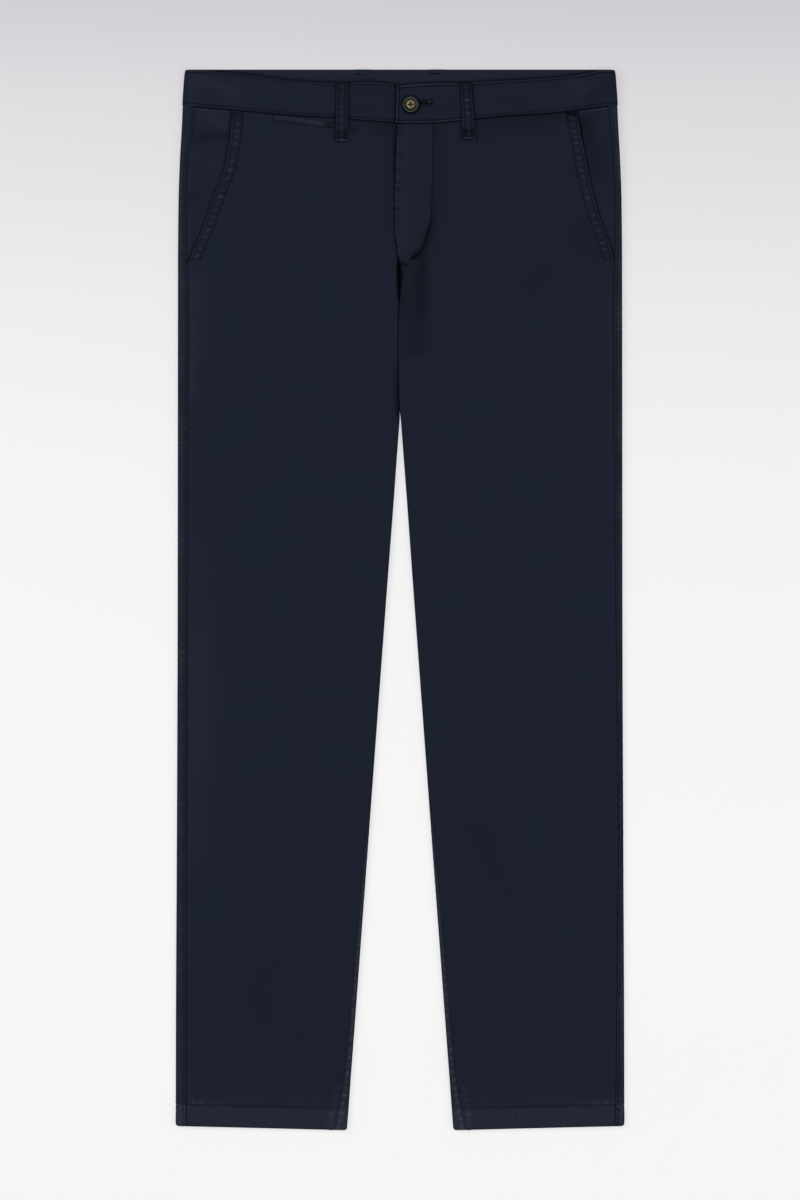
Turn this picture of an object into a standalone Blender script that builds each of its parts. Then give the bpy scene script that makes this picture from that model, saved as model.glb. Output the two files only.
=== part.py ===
"""Chino trousers lying flat with the front up.

Every piece of cloth is a closed wall, lofted through cross sections that are worked out
from the sizes below. Sizes are in millimetres, taken the way a cutter measures trousers:

    out     sideways from the centre line, towards the wearer's side that the piece is on
    down    from the top of the waistband towards the hem
    up      from the surface that the trousers lie on

LEFT and RIGHT are the wearer's. The front faces +Z and the waist points to +Y, so the
wearer's left is +X. The origin lies under the middle of the trousers, on that surface.
"""
import math
from bisect import bisect_right

import bmesh
import bpy
from mathutils import Vector

MM = 0.001
LEFT, RIGHT = 1, -1

# Driving dimensions -------------------------------------------------------------------
LENGTH = 1060.0           # top of the waistband to the lowest corner of the hem
CLOTH = 1.0               # wall of one panel
BAND = 1.8                # wall of the waistband, which is several layers
UNDERLAP = 1.4            # wall of the waistband where it is pressed under the tab
SEAM = 0.3                # gap between two pieces that are sewn together
BACK_BAND_DEPTH = 36.0    # depth of the waistband at the back
BAND_PROUD = 0.7          # how far the waistband stands above the front panels
BAND_EDGE_DIP = 0.35      # how far the stitched edges of the waistband are pressed down
BAND_FLARE = 0.6          # how far the waistband's lower corners stand out past the legs
TAB_RISE = 0.3            # how far the tab stands above the rest of the waistband
TAB_SLOPE = (46.0, 32.0)            # out: where it starts to rise, and where it has risen
TAB_END = -4.6            # where the left waistband ends, past the centre line
UNDERLAP_SLOPE = (16.0, 6.0)        # out: where the right waistband dips under the tab
UNDERLAP_END = -30.0      # where the right waistband ends, under the tab
SAG = 0.4                 # how far a leg's front sinks between its two edges
HEM_DEPTH = 21.5          # depth of the turned-up hem
HEM_PROUD = 0.5           # how far the hem stands above the leg
HEM_WALL = 1.5            # wall of the hem, which is three thin layers
HEM_SLANT = 4.7           # how much higher the hem's outer corner is than its inner one
GAP_START = 338.3         # down: where the lines of the two inner leg edges meet
GAP_SLOPE = 0.0742        # half of the gap between the legs, for each mm below that
TOUCH = 0.25              # half of the gap where the legs touch
WAIST_ROWS_END = 160.0    # down: above this, rows follow the curve of the waist seam
HEM_ROWS_START = 900.0    # down: below this, rows lean towards the slanted hem
FLY_RAISE = 0.4           # how far the fly facing lifts the front over it
FLY_STEP = 1.4            # how far the right front dips to pass under the left one
FLY_UNDERLAP = -10.0      # where the right front ends, under the left one
FLY_END = 206.0           # down: lower end of the step and of the stitching
FRONT_ROLL = (188.0, 202.0)         # down: where the fronts' inner edges roll over
BACK_ROLL = (222.0, 246.0)          # down: where the backs' inner edges roll over
POCKET_RAISE = 0.3        # how far the stitched pocket edge stands above the front
POCKET_BAND = 10.0        # width of the stitched pocket edge
FACING_UNDERLAP = 16.0    # how far the pocket facing runs in under the front
POCKET_BOTTOM = 188.0     # down: lower end of the pocket mouth
LOOP_WALL = 1.0           # wall of a belt loop
LOOP_END_WALL = 1.8       # wall of a belt loop at its folded ends
LOOP_BOW = 0.5            # how far a belt loop bows out from the waistband
BACK_LOOP_WIDTH = 13.0
BACK_LOOP_OUT = 37.0      # centre line of a back belt loop
BACK_LOOP_ENDS = (0.8, 57.0)
LOOP_LIFT = 1.3           # how far a back belt loop lifts the cloth over it
LOOP_BAND = 1.3           # wall of the waistband where it is pressed over a back loop
WELT_ENDS = (125.0, 66.6)           # out: the ticket pocket's welt, on the right front
WELT_TOP = (46.6, 53.2)             # down: its upper edge at those two ends
WELT_DEPTH = 6.0
BUTTON_PLACE = (11.0, 34.2)         # out on the left, down
BUTTON_RADIUS = 8.6
BUTTON_HEIGHT = 2.8
HOLE_RADIUS = 0.75
HOLE_OFFSET = 1.9
BUTTONHOLE = (4.0, 32.0)            # out on the left: its two ends
BUTTONHOLE_WIDTH = 1.2


def table(columns, *rows):
    """A short table: one dictionary for each row, keyed by the names of the columns."""
    names = columns.split()
    return [dict(zip(names, row)) for row in rows]


# Half of the flat width, from the waist to the hem.
OUTLINE = table(
    "down  half_width",
    (0, 213.8),
    (2.5, 215.0),
    (10, 215.7),
    (30, 216.8),
    (60, 218.2),
    (90, 219.9),
    (130, 221.3),
    (190, 221.9),
    (550, 222.2),
    (790, 222.8),
    (950, 223.7),
    (1060, 224.0))

# Height of the layers at the edges of the legs.
STACK = table(
    "down  height",
    (36, 5.4),
    (100, 5.2),
    (190, 4.7),
    (340, 4.0),
    (600, 3.7),
    (1060, 3.6))

# The front of the waistband: its upper edge and the seam under it, on each side.
WAIST = table(
    "out   right_top  left_top  right_seam  left_seam",
    (0, 16.2, 16.4, 53.0, 53.0),
    (30, 13.0, 14.6, 51.4, 53.3),
    (65, 13.8, 13.9, 48.4, 50.1),
    (107, 11.8, 12.4, 46.2, 47.1),
    (150, 5.8, 9.0, 41.3, 44.2),
    (185, 2.5, 5.4, 37.6, 39.3),
    (213, 2.2, 2.2, 35.4, 35.5))

# The mouth of each slanted pocket: the folded edge of the front.
POCKET = table(
    "down  right_mouth  left_mouth",
    (36, 166.6, 176.8),
    (67, 169.6, 182.8),
    (98, 174.9, 188.6),
    (121, 184.3, 192.6),
    (141, 192.0, 197.4),
    (162, 199.9, 204.4),
    (179, 206.2, 210.4),
    (188, 209.5, 213.2))

# How far the side seam lies in from the outer edge, on the front.
SIDE_SEAM = table(
    "down  right_inset  left_inset",
    (36, 11.5, 9.5),
    (60, 12.2, 7.4),
    (76, 9.8, 6.9),
    (92, 7.8, 6.7),
    (125, 7.3, 6.6),
    (190, 9.4, 7.6),
    (230, 11.2, 8.7),
    (630, 9.8, 5.8),
    (760, 9.9, 3.7),
    (900, 10.2, 5.6),
    (1060, 10.5, 9.2))

# How far the inseam lies round the inner edge, measured over the cloth: 0 is on the edge.
INSEAM = table(
    "down  lap",
    (343, 0.0),
    (560, 0.3),
    (700, 2.0),
    (758, 4.0),
    (875, 7.0),
    (1060, 10.0))

# The line along which the two legs part, across to the wearer's left.
PARTING = table(
    "down  across",
    (150, 0.0),
    (231, -1.1),
    (300, -1.6),
    (343, -0.5),
    (400, 0.0))

# The fly and the crotch seam under it: the edges of the two fronts, how far their folded
# edges are drawn apart above the crotch, and the J of stitching on the left one.
FLY = table(
    "down  left_edge  right_edge  spread  stitching",
    (53, -5.2, FLY_UNDERLAP, 0.0, 32.5),
    (82, -5.4, FLY_UNDERLAP, 0.0, 33.5),
    (117, -5.7, FLY_UNDERLAP, 0.0, 32.2),
    (149, -5.5, FLY_UNDERLAP, 0.0, 30.0),
    (165, -4.5, -9.0, 0.0, 26.5),
    (176, -3.3, -7.0, 0.0, 22.5),
    (182, -2.5, -2.0, 0.0, 19.0),
    (188, -1.2, 1.7, 0.3, 14.0),
    (196, -0.6, 1.0, 1.5, 4.0),
    (206, -0.6, 1.1, 1.7, 4.0),
    (231, -0.85, 1.35, 0.3, 4.0),
    (262, -0.85, 1.35, 0.0, 4.0))

# Soft folds of the front, each a trough (minus) or a ridge (plus) along a straight line.
FOLDS = table(
    "side  out_from  down_from  out_to  down_to  width  rise",
    (LEFT, 37, 115, 27, 188, 5, -0.5),
    (LEFT, 27, 188, 21, 300, 7, -0.6),
    (LEFT, 12, 206, 13, 236, 4, 0.3),
    (LEFT, 188, 160, 100, 255, 18, -0.4),
    (LEFT, 66, 690, 78, 800, 13, -0.3),
    (LEFT, 80, 760, 118, 850, 11, -0.6),
    (LEFT, 92, 880, 150, 1000, 15, -0.4),
    (RIGHT, 10, 70, 14, 150, 7, -0.3),
    (RIGHT, 150, 240, 55, 330, 22, -0.3),
    (RIGHT, 196, 470, 199, 800, 13, 0.35),
    (RIGHT, 60, 830, 135, 900, 18, -0.35),
    (RIGHT, 150, 930, 62, 1000, 16, -0.3))

# The front belt loops: width and centre line at their two ends.
FRONT_LOOPS = table(
    "side  out_top  out_bottom  width_top  width_bottom  down_bottom",
    (LEFT, 66.5, 69.0, 13.2, 15.0, 70.5),
    (RIGHT, 56.8, 58.9, 14.2, 14.2, 72.5))

# Rows of the back panels and the pocket facings, which meet at the side seam.
HIP_ROWS = [BACK_BAND_DEPTH + SEAM, 46, 57.5, 66, 76, 84, 92, 110, 130, 150, 170, 182,
            POCKET_BOTTOM, POCKET_BOTTOM + 9]

# Colours of the cloth and the button, as linear RGB.
NAVY = (0.0116, 0.0152, 0.0262)
HORN = (0.130, 0.105, 0.050)


# Curves through the tables ------------------------------------------------------------
def curve(rows, column, key="down"):
    """A smooth function through one column of a table, which never overshoots its rows."""
    keys = [row[key] for row in rows]
    values = [row[column] for row in rows]
    steps = [after - before for before, after in zip(keys, keys[1:])]
    slopes = [(after - before) / step
              for before, after, step in zip(values, values[1:], steps)]
    tangents = [slopes[0]]
    for before, after in zip(slopes, slopes[1:]):
        turning = before * after <= 0
        tangents.append(0.0 if turning else 2 * before * after / (before + after))
    tangents.append(slopes[-1])

    def at(position):
        position = min(max(position, keys[0]), keys[-1])
        index = min(bisect_right(keys, position) - 1, len(steps) - 1)
        step = steps[index]
        share = (position - keys[index]) / step
        rest = 1 - share
        return (values[index] * rest * rest * (1 + 2 * share)
                + values[index + 1] * share * share * (3 - 2 * share)
                + tangents[index] * step * share * rest * rest
                - tangents[index + 1] * step * share * share * rest)

    return at


def on_each_side(rows, column, key="down"):
    """Two curves, one for each side, from the columns right_... and left_... ."""
    return {LEFT: curve(rows, "left_" + column, key),
            RIGHT: curve(rows, "right_" + column, key)}


def ease(share):
    """0 up to 0 and 1 from 1, with a soft S between."""
    share = min(max(share, 0.0), 1.0)
    return share * share * (3 - 2 * share)


def ramp(spot, start, end):
    """0 before `start`, 1 past `end`, with a soft S between."""
    return ease((spot - start) / (end - start))


def between(start, end, count):
    """`count` evenly spaced numbers from start to end, both included."""
    return [start + (end - start) * index / (count - 1) for index in range(count)]


half_width = curve(OUTLINE, "half_width")
stack = curve(STACK, "height")
waist_top = on_each_side(WAIST, "top", key="out")
waist_seam = on_each_side(WAIST, "seam", key="out")
pocket_mouth = on_each_side(POCKET, "mouth")
seam_inset = on_each_side(SIDE_SEAM, "inset")
inseam_lap = curve(INSEAM, "lap")
parting = curve(PARTING, "across")
fly_edge = on_each_side(FLY, "edge")
fly_spread = curve(FLY, "spread")
fly_stitching = curve(FLY, "stitching")


# Lines of the trousers ----------------------------------------------------------------
def place(side, out, down, up):
    """World point, in metres, of a place measured in mm."""
    return Vector((side * out, LENGTH / 2 - down, up)) * MM


def inner_edge(side, down):
    """Inner edge of a leg, which is the centre line above the crotch."""
    gap = (down - GAP_START) * GAP_SLOPE
    return max(TOUCH, gap) + side * parting(down)


def side_seam(side, down):
    return half_width(down) - seam_inset[side](down)


def hem_line(side, out):
    """The hem's edge, which climbs a little towards the outer corner."""
    inner = inner_edge(side, LENGTH)
    share = (out - inner) / (half_width(LENGTH) - inner)
    return LENGTH - HEM_SLANT * min(max(share, 0.0), 1.0)


def row_down(side, out, row):
    """Where a row of a panel lies at `out`: the last rows follow the slanted hem."""
    follow = ramp(row, HEM_ROWS_START, LENGTH)
    return row + (hem_line(side, out) - LENGTH) * follow


def front_row_down(side, out, row):
    """The same on a front panel, whose first rows follow the curve of the waist seam."""
    crest = WAIST[0]["left_seam"]
    seam = waist_seam[side](out) + SEAM
    follow = ramp(row, WAIST_ROWS_END, crest)
    return row_down(side, out, row) + (seam - crest) * follow


def in_hem(side, out, down):
    """1 in the hem, 0 above it."""
    return ease((HEM_DEPTH + 1 - (hem_line(side, out) - down)) / 2)


def edge_height(side, out, down):
    """Height of the layers where a panel turns round an edge of the leg."""
    return stack(down) + HEM_PROUD * in_hem(side, out, down)


def panel_wall(side, out, down):
    return CLOTH + (HEM_WALL - CLOTH) * in_hem(side, out, down)


# Height of the front ------------------------------------------------------------------
def fold_rise(fold, out, down):
    """Height that one soft fold adds: a bell across its line, fading past its ends."""
    start = Vector((fold["out_from"], fold["down_from"]))
    run = Vector((fold["out_to"], fold["down_to"])) - start
    spot = Vector((out, down)) - start
    share = min(max(spot.dot(run) / run.length_squared, 0.0), 1.0)
    distance = (spot - run * share).length / fold["width"]
    return fold["rise"] * math.exp(-distance * distance)


def front_outer_edge(side, down):
    """Outer edge of a front: the pocket mouth, and the side seam below it."""
    below = ease((down - POCKET_BOTTOM) / 7)
    mouth = pocket_mouth[side](down)
    return mouth + (side_seam(side, down) - SEAM - mouth) * below


def front_up(side, out, down):
    """Height of the outside of a front panel."""
    inner = inner_edge(side, down)
    outer = half_width(down)
    share = min(max((out - inner) / (outer - inner), 0.0), 1.0)
    height = edge_height(side, out, down) - SAG * 4 * share * (1 - share)
    held = ease(min(out - inner, outer - out) / 10)
    height += held * sum(fold_rise(fold, out, down) for fold in FOLDS if fold["side"] == side)
    above_crotch = ramp(down, FLY_END, FLY_END - 10)
    if side == RIGHT:
        height -= FLY_STEP * ease((20 - out) / 14) * above_crotch
    else:
        height += FLY_RAISE * ease((fly_stitching(down) + 1 - out) / 2) * above_crotch
    beside_pocket = ease((POCKET_BOTTOM + 8 - down) / 8)
    from_mouth = pocket_mouth[side](down) - out
    height += POCKET_RAISE * ease((POCKET_BAND + 1 - from_mouth) / 2) * beside_pocket
    return max(height, 2 * CLOTH + SEAM)


# Walls --------------------------------------------------------------------------------
def folded_edge(edge, inward, height, wall, arc, spread=0.0):
    """Outer and inner (out, up) of cloth round a folded edge, `arc` from its outermost line.

    The fold is a half circle as high as the layers, and `spread` makes it that much
    wider. Arcs above 0 run over the top of it and on inwards, those below 0 run under it.
    """
    radius = height / 2
    quarter = radius * math.pi / 2
    turn = min(max(arc / quarter, -1), 1) * math.pi / 2
    beyond = max(0.0, abs(arc) - quarter)
    points = []
    for reach in (radius, radius - wall):
        inset = radius + spread - (reach + spread) * math.cos(turn) + beyond
        points.append((edge + inward * inset, radius + reach * math.sin(turn)))
    return points


def loft_wall(name, sections, material):
    """A closed wall through its sections, each a row of (outer, inner) points."""
    mesh = bmesh.new()
    outer = [[mesh.verts.new(face) for face, _ in section] for section in sections]
    inner = [[mesh.verts.new(lining) for _, lining in section] for section in sections]
    last_row = len(sections) - 1
    last_column = len(sections[0]) - 1
    for row in range(last_row):
        for column in range(last_column):
            for sheet in (outer, inner):
                mesh.faces.new((sheet[row][column], sheet[row][column + 1],
                                sheet[row + 1][column + 1], sheet[row + 1][column]))
    rim = [(0, column) for column in range(last_column)]
    rim += [(row, last_column) for row in range(last_row)]
    rim += [(last_row, column) for column in range(last_column, 0, -1)]
    rim += [(row, 0) for row in range(last_row, 0, -1)]
    for (row, column), (next_row, next_column) in zip(rim, rim[1:] + rim[:1]):
        mesh.faces.new((outer[row][column], outer[next_row][next_column],
                        inner[next_row][next_column], inner[row][column]))
    bmesh.ops.recalc_face_normals(mesh, faces=mesh.faces)
    return finish(name, mesh, material)


def finish(name, mesh, material):
    """The bmesh as a named, smooth shaded object in the trousers' collection."""
    data = bpy.data.meshes.new(name)
    mesh.to_mesh(data)
    mesh.free()
    data.shade_smooth()
    data.set_sharp_from_angle(angle=math.radians(35))
    data.materials.append(material)
    piece = bpy.data.objects.new(name, data)
    trousers.objects.link(piece)
    piece.parent = base
    return piece


def matter(name, colour, roughness):
    """A Principled material."""
    material = bpy.data.materials.new(name)
    material.use_nodes = True
    shader = material.node_tree.nodes["Principled BSDF"]
    shader.inputs["Base Color"].default_value = (*colour, 1)
    shader.inputs["Roughness"].default_value = roughness
    shader.inputs["Metallic"].default_value = 0
    return material


def cloth(name):
    return matter(name + "_cloth", NAVY, 0.85)


# Legs ---------------------------------------------------------------------------------
def front_section(side, row):
    """One section of a front panel, from its inner edge to its outer edge."""
    rolled = ramp(row, *FRONT_ROLL)
    above = row < FLY[-2]["down"]
    edge = fly_edge[side](row) if above else inner_edge(side, row)
    height = edge_height(side, edge, row)
    wall = panel_wall(side, edge, row)
    quarter = height / 2 * math.pi / 2
    lap = inseam_lap(row) + SEAM / 2
    arcs = between(lap, max(lap, quarter) + 1.5, 6)
    spread = fly_spread(row)
    lip_end = edge + spread + height / 2 + arcs[-1] - quarter
    section = []
    for arc, flat_out in zip(arcs, between(edge, lip_end, 6)):
        flat_up = front_up(side, flat_out, front_row_down(side, flat_out, row))
        flat = [(flat_out, flat_up), (flat_out, flat_up - wall)]
        folded = folded_edge(edge, 1, height, wall, arc, spread)
        points = []
        for (out, up), (fold_out, fold_up) in zip(flat, folded):
            out += (fold_out - out) * rolled
            up += (fold_up - up) * rolled
            points.append(place(side, out, front_row_down(side, out, row), up))
        section.append(points)
    outer = front_outer_edge(side, row)
    outer = front_outer_edge(side, front_row_down(side, outer, row))
    stitches = max(fly_stitching(row), lip_end + 6)
    spots = between(lip_end, stitches - 1, 5)[1:]
    spots += between(stitches + 1, stitches + 5, 2)
    spots += between(stitches + 5, outer - POCKET_BAND - 3, 6)[1:]
    spots += [outer - POCKET_BAND - 0.5, outer - POCKET_BAND + 1.5, outer - 4, outer]
    for out in spots:
        down = front_row_down(side, out, row)
        up = front_up(side, out, down)
        under = up - panel_wall(side, out, down)
        section.append([place(side, out, down, up), place(side, out, down, under)])
    return section


def over_loop(out, down):
    """1 where a back belt loop lies under the cloth, 0 beside it."""
    beside = abs(out - BACK_LOOP_OUT) - BACK_LOOP_WIDTH / 2
    below = down - BACK_LOOP_ENDS[1]
    return ease(1.1 - beside / 3) * ease(1.1 - below / 5)


def floor_spots(start, end, row):
    """Places across the back: beside the belt loops at the top, even further down."""
    half = BACK_LOOP_WIDTH / 2
    loop_edges = [BACK_LOOP_OUT + step for step in (half + 3, half + 0.2, -half - 0.2, -half - 3)]
    near_loops = [start, 170, 120, 80] + loop_edges + [14, end]
    even = between(start, end, len(near_loops))
    spread = ease((row - 70) / 120)
    return [spot + (level - spot) * spread for spot, level in zip(near_loops, even)]


def back_section(side, row):
    """One section of a back panel, from the side seam round the back to the inseam."""
    rolled = ramp(row, *BACK_ROLL)
    edge = half_width(row)
    height = edge_height(side, edge, row)
    wall = panel_wall(side, edge, row)
    radius = height / 2
    quarter = radius * math.pi / 2
    seam = quarter + seam_inset[side](row) - radius
    arcs = [seam, (seam + quarter) / 2] + between(quarter, -quarter, 8)[:-1]
    section = [folded_edge(edge, -1, height, wall, arc) for arc in arcs]
    inner = inner_edge(side, row)
    for out in floor_spots(edge - radius, inner + radius, row)[:-1]:
        lift = LOOP_LIFT * over_loop(out, row)
        section.append([(out, lift), (out, lift + wall)])
    inner_arcs = between(-quarter, inseam_lap(row) - SEAM / 2, 7)
    flat_end = inner - TOUCH + SEAM / 2
    for arc, flat_out in zip(inner_arcs, between(inner + radius, flat_end, 7)):
        folded = folded_edge(inner, 1, height, wall, arc)
        flat = [(flat_out, 0.0), (flat_out, wall)]
        section.append([(out + (fold_out - out) * rolled, up + (fold_up - up) * rolled)
                        for (out, up), (fold_out, fold_up) in zip(flat, folded)])
    return [[place(side, out, row_down(side, out, row), up) for out, up in points]
            for points in section]


def make_legs():
    leg_rows = [250, 275, 305, 340, 375] + between(420, 1010, 11)
    leg_rows += [LENGTH - HEM_DEPTH - 3, LENGTH - HEM_DEPTH, LENGTH - HEM_DEPTH + 2,
                 LENGTH - 8, LENGTH]
    crest = WAIST[0]["left_seam"]
    front_rows = [crest, crest + 5, 72, 90, 108, 122, 134, 148, 160, 170, 177, 183, 188, 192,
                  196, 202, 210, 220, 231] + leg_rows
    back_rows = HIP_ROWS + [210, 222, 230, 238, 244] + leg_rows
    for side, name in ((LEFT, "left"), (RIGHT, "right")):
        front = [front_section(side, row) for row in front_rows]
        loft_wall(name + "_front_leg", front, cloth(name + "_front_leg"))
        back = [back_section(side, row) for row in back_rows]
        loft_wall(name + "_back_leg", back, cloth(name + "_back_leg"))


# Pocket facings and the ticket pocket's welt -------------------------------------------
def facing_up(side, out, down):
    """Height of a pocket facing: under the front, then level with the side seam."""
    mouth = front_outer_edge(side, down)
    under = front_up(side, min(out, mouth), down) - CLOTH - SEAM
    share = ease((out - mouth) / (side_seam(side, down) - mouth))
    return under + (stack(down) - under) * share


def make_pocket_facings():
    for side, name in ((LEFT, "left"), (RIGHT, "right")):
        sections = []
        for row in HIP_ROWS:
            mouth = front_outer_edge(side, row)
            seam = side_seam(side, row) - SEAM
            spots = [mouth - FACING_UNDERLAP, mouth - POCKET_BAND / 2, mouth]
            spots += between(mouth, seam, 6)[1:]
            section = []
            for out in spots:
                top = waist_seam[side](out) + SEAM
                down = max(row, top + (row - BACK_BAND_DEPTH) * 0.5)
                up = facing_up(side, out, down)
                section.append([place(side, out, down, up), place(side, out, down, up - CLOTH)])
            sections.append(section)
        loft_wall(name + "_pocket_facing", sections, cloth(name + "_pocket_facing"))


def make_welt():
    sections = []
    for share in between(0, 1, 9):
        out = WELT_ENDS[0] + (WELT_ENDS[1] - WELT_ENDS[0]) * share
        top = WELT_TOP[0] + (WELT_TOP[1] - WELT_TOP[0]) * ease(share)
        section = []
        for down in between(top, top + WELT_DEPTH, 4):
            up = front_up(RIGHT, out, down) + SEAM
            section.append([place(RIGHT, out, down, up + CLOTH), place(RIGHT, out, down, up)])
        sections.append(section)
    loft_wall("coin_pocket_welt", sections, cloth("coin_pocket_welt"))


# Waistband ----------------------------------------------------------------------------
def band_up(side, out):
    """Height of the front of the waistband."""
    level = stack(BACK_BAND_DEPTH) + BAND_PROUD
    if side == LEFT:
        return level + TAB_RISE * ramp(out, *TAB_SLOPE)
    return level - (BAND + SEAM - TAB_RISE) * ramp(out, *UNDERLAP_SLOPE)


def band_wall(side, out):
    if side == LEFT:
        return BAND
    return BAND - (BAND - UNDERLAP) * ramp(out, *UNDERLAP_SLOPE)


def band_edges(side, out):
    """Upper edge and lower edge of the front of the waistband."""
    if side == RIGHT and out < 0:
        return waist_top[LEFT](-out) + 1, waist_seam[LEFT](-out) - 1
    return waist_top[side](out), waist_seam[side](out) - SEAM


def band_section(side, part, spot):
    """One section of the waistband, from its upper edge to the seam.

    `part` is back, fold or front. `spot` is a place across, or on the fold the share of
    the way round it, from the underside to the top.
    """
    level = stack(BACK_BAND_DEPTH) + BAND_PROUD
    top, bottom = 0.0, BACK_BAND_DEPTH
    if part == "front":
        top, bottom = band_edges(side, spot)
    if part == "fold":
        front_top, front_bottom = band_edges(side, OUTLINE[0]["half_width"])
        top = front_top * spot
        bottom += (front_bottom - bottom) * spot
    section = []
    for share, dip in ((0, BAND_EDGE_DIP), (0.06, 0), (0.5, 0), (0.94, 0), (1, BAND_EDGE_DIP)):
        down = top + (bottom - top) * share
        edge = half_width(down) + BAND_FLARE * share
        if part == "fold":
            arc = (spot * 2 - 1) * level / 2 * math.pi / 2
            points = folded_edge(edge, -1, level, BAND, arc)
        elif part == "back":
            out = min(spot, edge - level / 2)
            lift = LOOP_LIFT * over_loop(out, down)
            wall = BAND - (BAND - LOOP_BAND) * over_loop(out, down)
            points = [(out, lift), (out, lift + wall)]
        else:
            out = min(spot, edge - level / 2)
            up = band_up(side, out)
            points = [(out, up - dip), (out, up - band_wall(side, out))]
        section.append([place(side, out, down, up) for out, up in points])
    return section


def make_waistband():
    far = OUTLINE[-1]["half_width"]
    half = BACK_LOOP_WIDTH / 2
    loop_edges = [BACK_LOOP_OUT + step for step in (-half - 3, -half - 0.2, half + 0.2, half + 3)]
    back = [SEAM / 2, 14] + loop_edges + [80, 120, 165, far]
    ends = {LEFT: [46, 39, 32, 24, 16, 8, 2, TAB_END + 0.5, TAB_END],
            RIGHT: [36, 26, 20, 16, 13, 10, 7, 4, -8, -20, UNDERLAP_END]}
    for side, name in ((LEFT, "left"), (RIGHT, "right")):
        front = [far] + between(203, 60, 10) + ends[side]
        sections = [band_section(side, "back", out) for out in back]
        sections += [band_section(side, "fold", share) for share in between(0, 1, 8)[1:-1]]
        sections += [band_section(side, "front", out) for out in front]
        band = loft_wall(name + "_waistband", sections, cloth(name + "_waistband"))
        if side == LEFT:
            cut_buttonhole(band)


def cut_buttonhole(band):
    """A slit with round ends, cut right through the tab."""
    mesh = bmesh.new()
    bmesh.ops.create_cube(mesh, size=1)
    length = BUTTONHOLE[1] - BUTTONHOLE[0]
    bmesh.ops.scale(mesh, vec=Vector((length, BUTTONHOLE_WIDTH, 6)) * MM, verts=mesh.verts)
    upright = [edge for edge in mesh.edges
               if abs(edge.verts[0].co.z - edge.verts[1].co.z) > MM]
    bmesh.ops.bevel(mesh, geom=upright, offset=BUTTONHOLE_WIDTH * 0.45 * MM, segments=3,
                    profile=0.5, affect="EDGES")
    data = bpy.data.meshes.new("buttonhole_cutter")
    mesh.to_mesh(data)
    mesh.free()
    cutter = bpy.data.objects.new("buttonhole_cutter", data)
    middle = (BUTTONHOLE[0] + BUTTONHOLE[1]) / 2
    cutter.location = place(LEFT, middle, BUTTON_PLACE[1], band_up(LEFT, 0) - BAND / 2)
    hide_as_cutter(cutter)
    cut_with(band, cutter)


def hide_as_cutter(cutter):
    cutters.objects.link(cutter)
    cutter.hide_render = True
    cutter.display_type = "WIRE"


def cut_with(piece, cutter):
    cut = piece.modifiers.new("cut", "BOOLEAN")
    cut.operation = "DIFFERENCE"
    cut.solver = "EXACT"
    cut.object = cutter


# Belt loops ---------------------------------------------------------------------------
def make_front_loops():
    """Each loop runs down over the waistband and is sewn down below the seam."""
    for loop in FRONT_LOOPS:
        side = loop["side"]
        top, seam = band_edges(side, loop["out_top"])
        bottom = loop["down_bottom"]
        rows = table(
            "down          wall           bow",
            (top + 0.6, LOOP_END_WALL, 0),
            (top + 4.5, LOOP_END_WALL, 0),
            (top + 6.5, LOOP_WALL, 0),
            (top + 13, LOOP_WALL, LOOP_BOW * 0.7),
            (top + 20, LOOP_WALL, LOOP_BOW),
            (seam - 5, LOOP_WALL, LOOP_BOW * 0.6),
            (seam + 1, LOOP_WALL, 0.1),
            (seam + 8, LOOP_WALL, 0.1),
            (bottom - 8, LOOP_WALL, 0),
            (bottom - 6, LOOP_END_WALL, 0),
            (bottom, LOOP_END_WALL, 0))
        sections = []
        for row in rows:
            down = row["down"]
            share = (down - top) / (bottom - top)
            centre = loop["out_top"] + (loop["out_bottom"] - loop["out_top"]) * share
            width = loop["width_top"] + (loop["width_bottom"] - loop["width_top"]) * share
            on_front = front_up(side, centre, max(down, seam + 1))
            drop = ease((down - seam - 1) / 7)
            base_up = band_up(side, centre) * (1 - drop) + on_front * drop
            low = base_up + SEAM + row["bow"]
            section = []
            for step, dip in ((-0.5, 0.3), (-0.4, 0), (0, 0), (0.4, 0), (0.5, 0.3)):
                out = centre + width * step
                section.append([place(side, out, down, low + row["wall"] - dip),
                                place(side, out, down, low)])
            sections.append(section)
        name = ("left" if side == LEFT else "right") + "_front_belt_loop"
        loft_wall(name, sections, cloth(name))


def make_back_loops():
    """Pressed flat between the waistband and the surface below."""
    half = BACK_LOOP_WIDTH / 2
    for side, name in ((LEFT, "left_back_belt_loop"), (RIGHT, "right_back_belt_loop")):
        sections = []
        for down in between(*BACK_LOOP_ENDS, 4):
            section = []
            for out in between(BACK_LOOP_OUT - half, BACK_LOOP_OUT + half, 3):
                section.append([place(side, out, down, 0), place(side, out, down, LOOP_WALL)])
            sections.append(section)
        loft_wall(name, sections, cloth(name))


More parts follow.
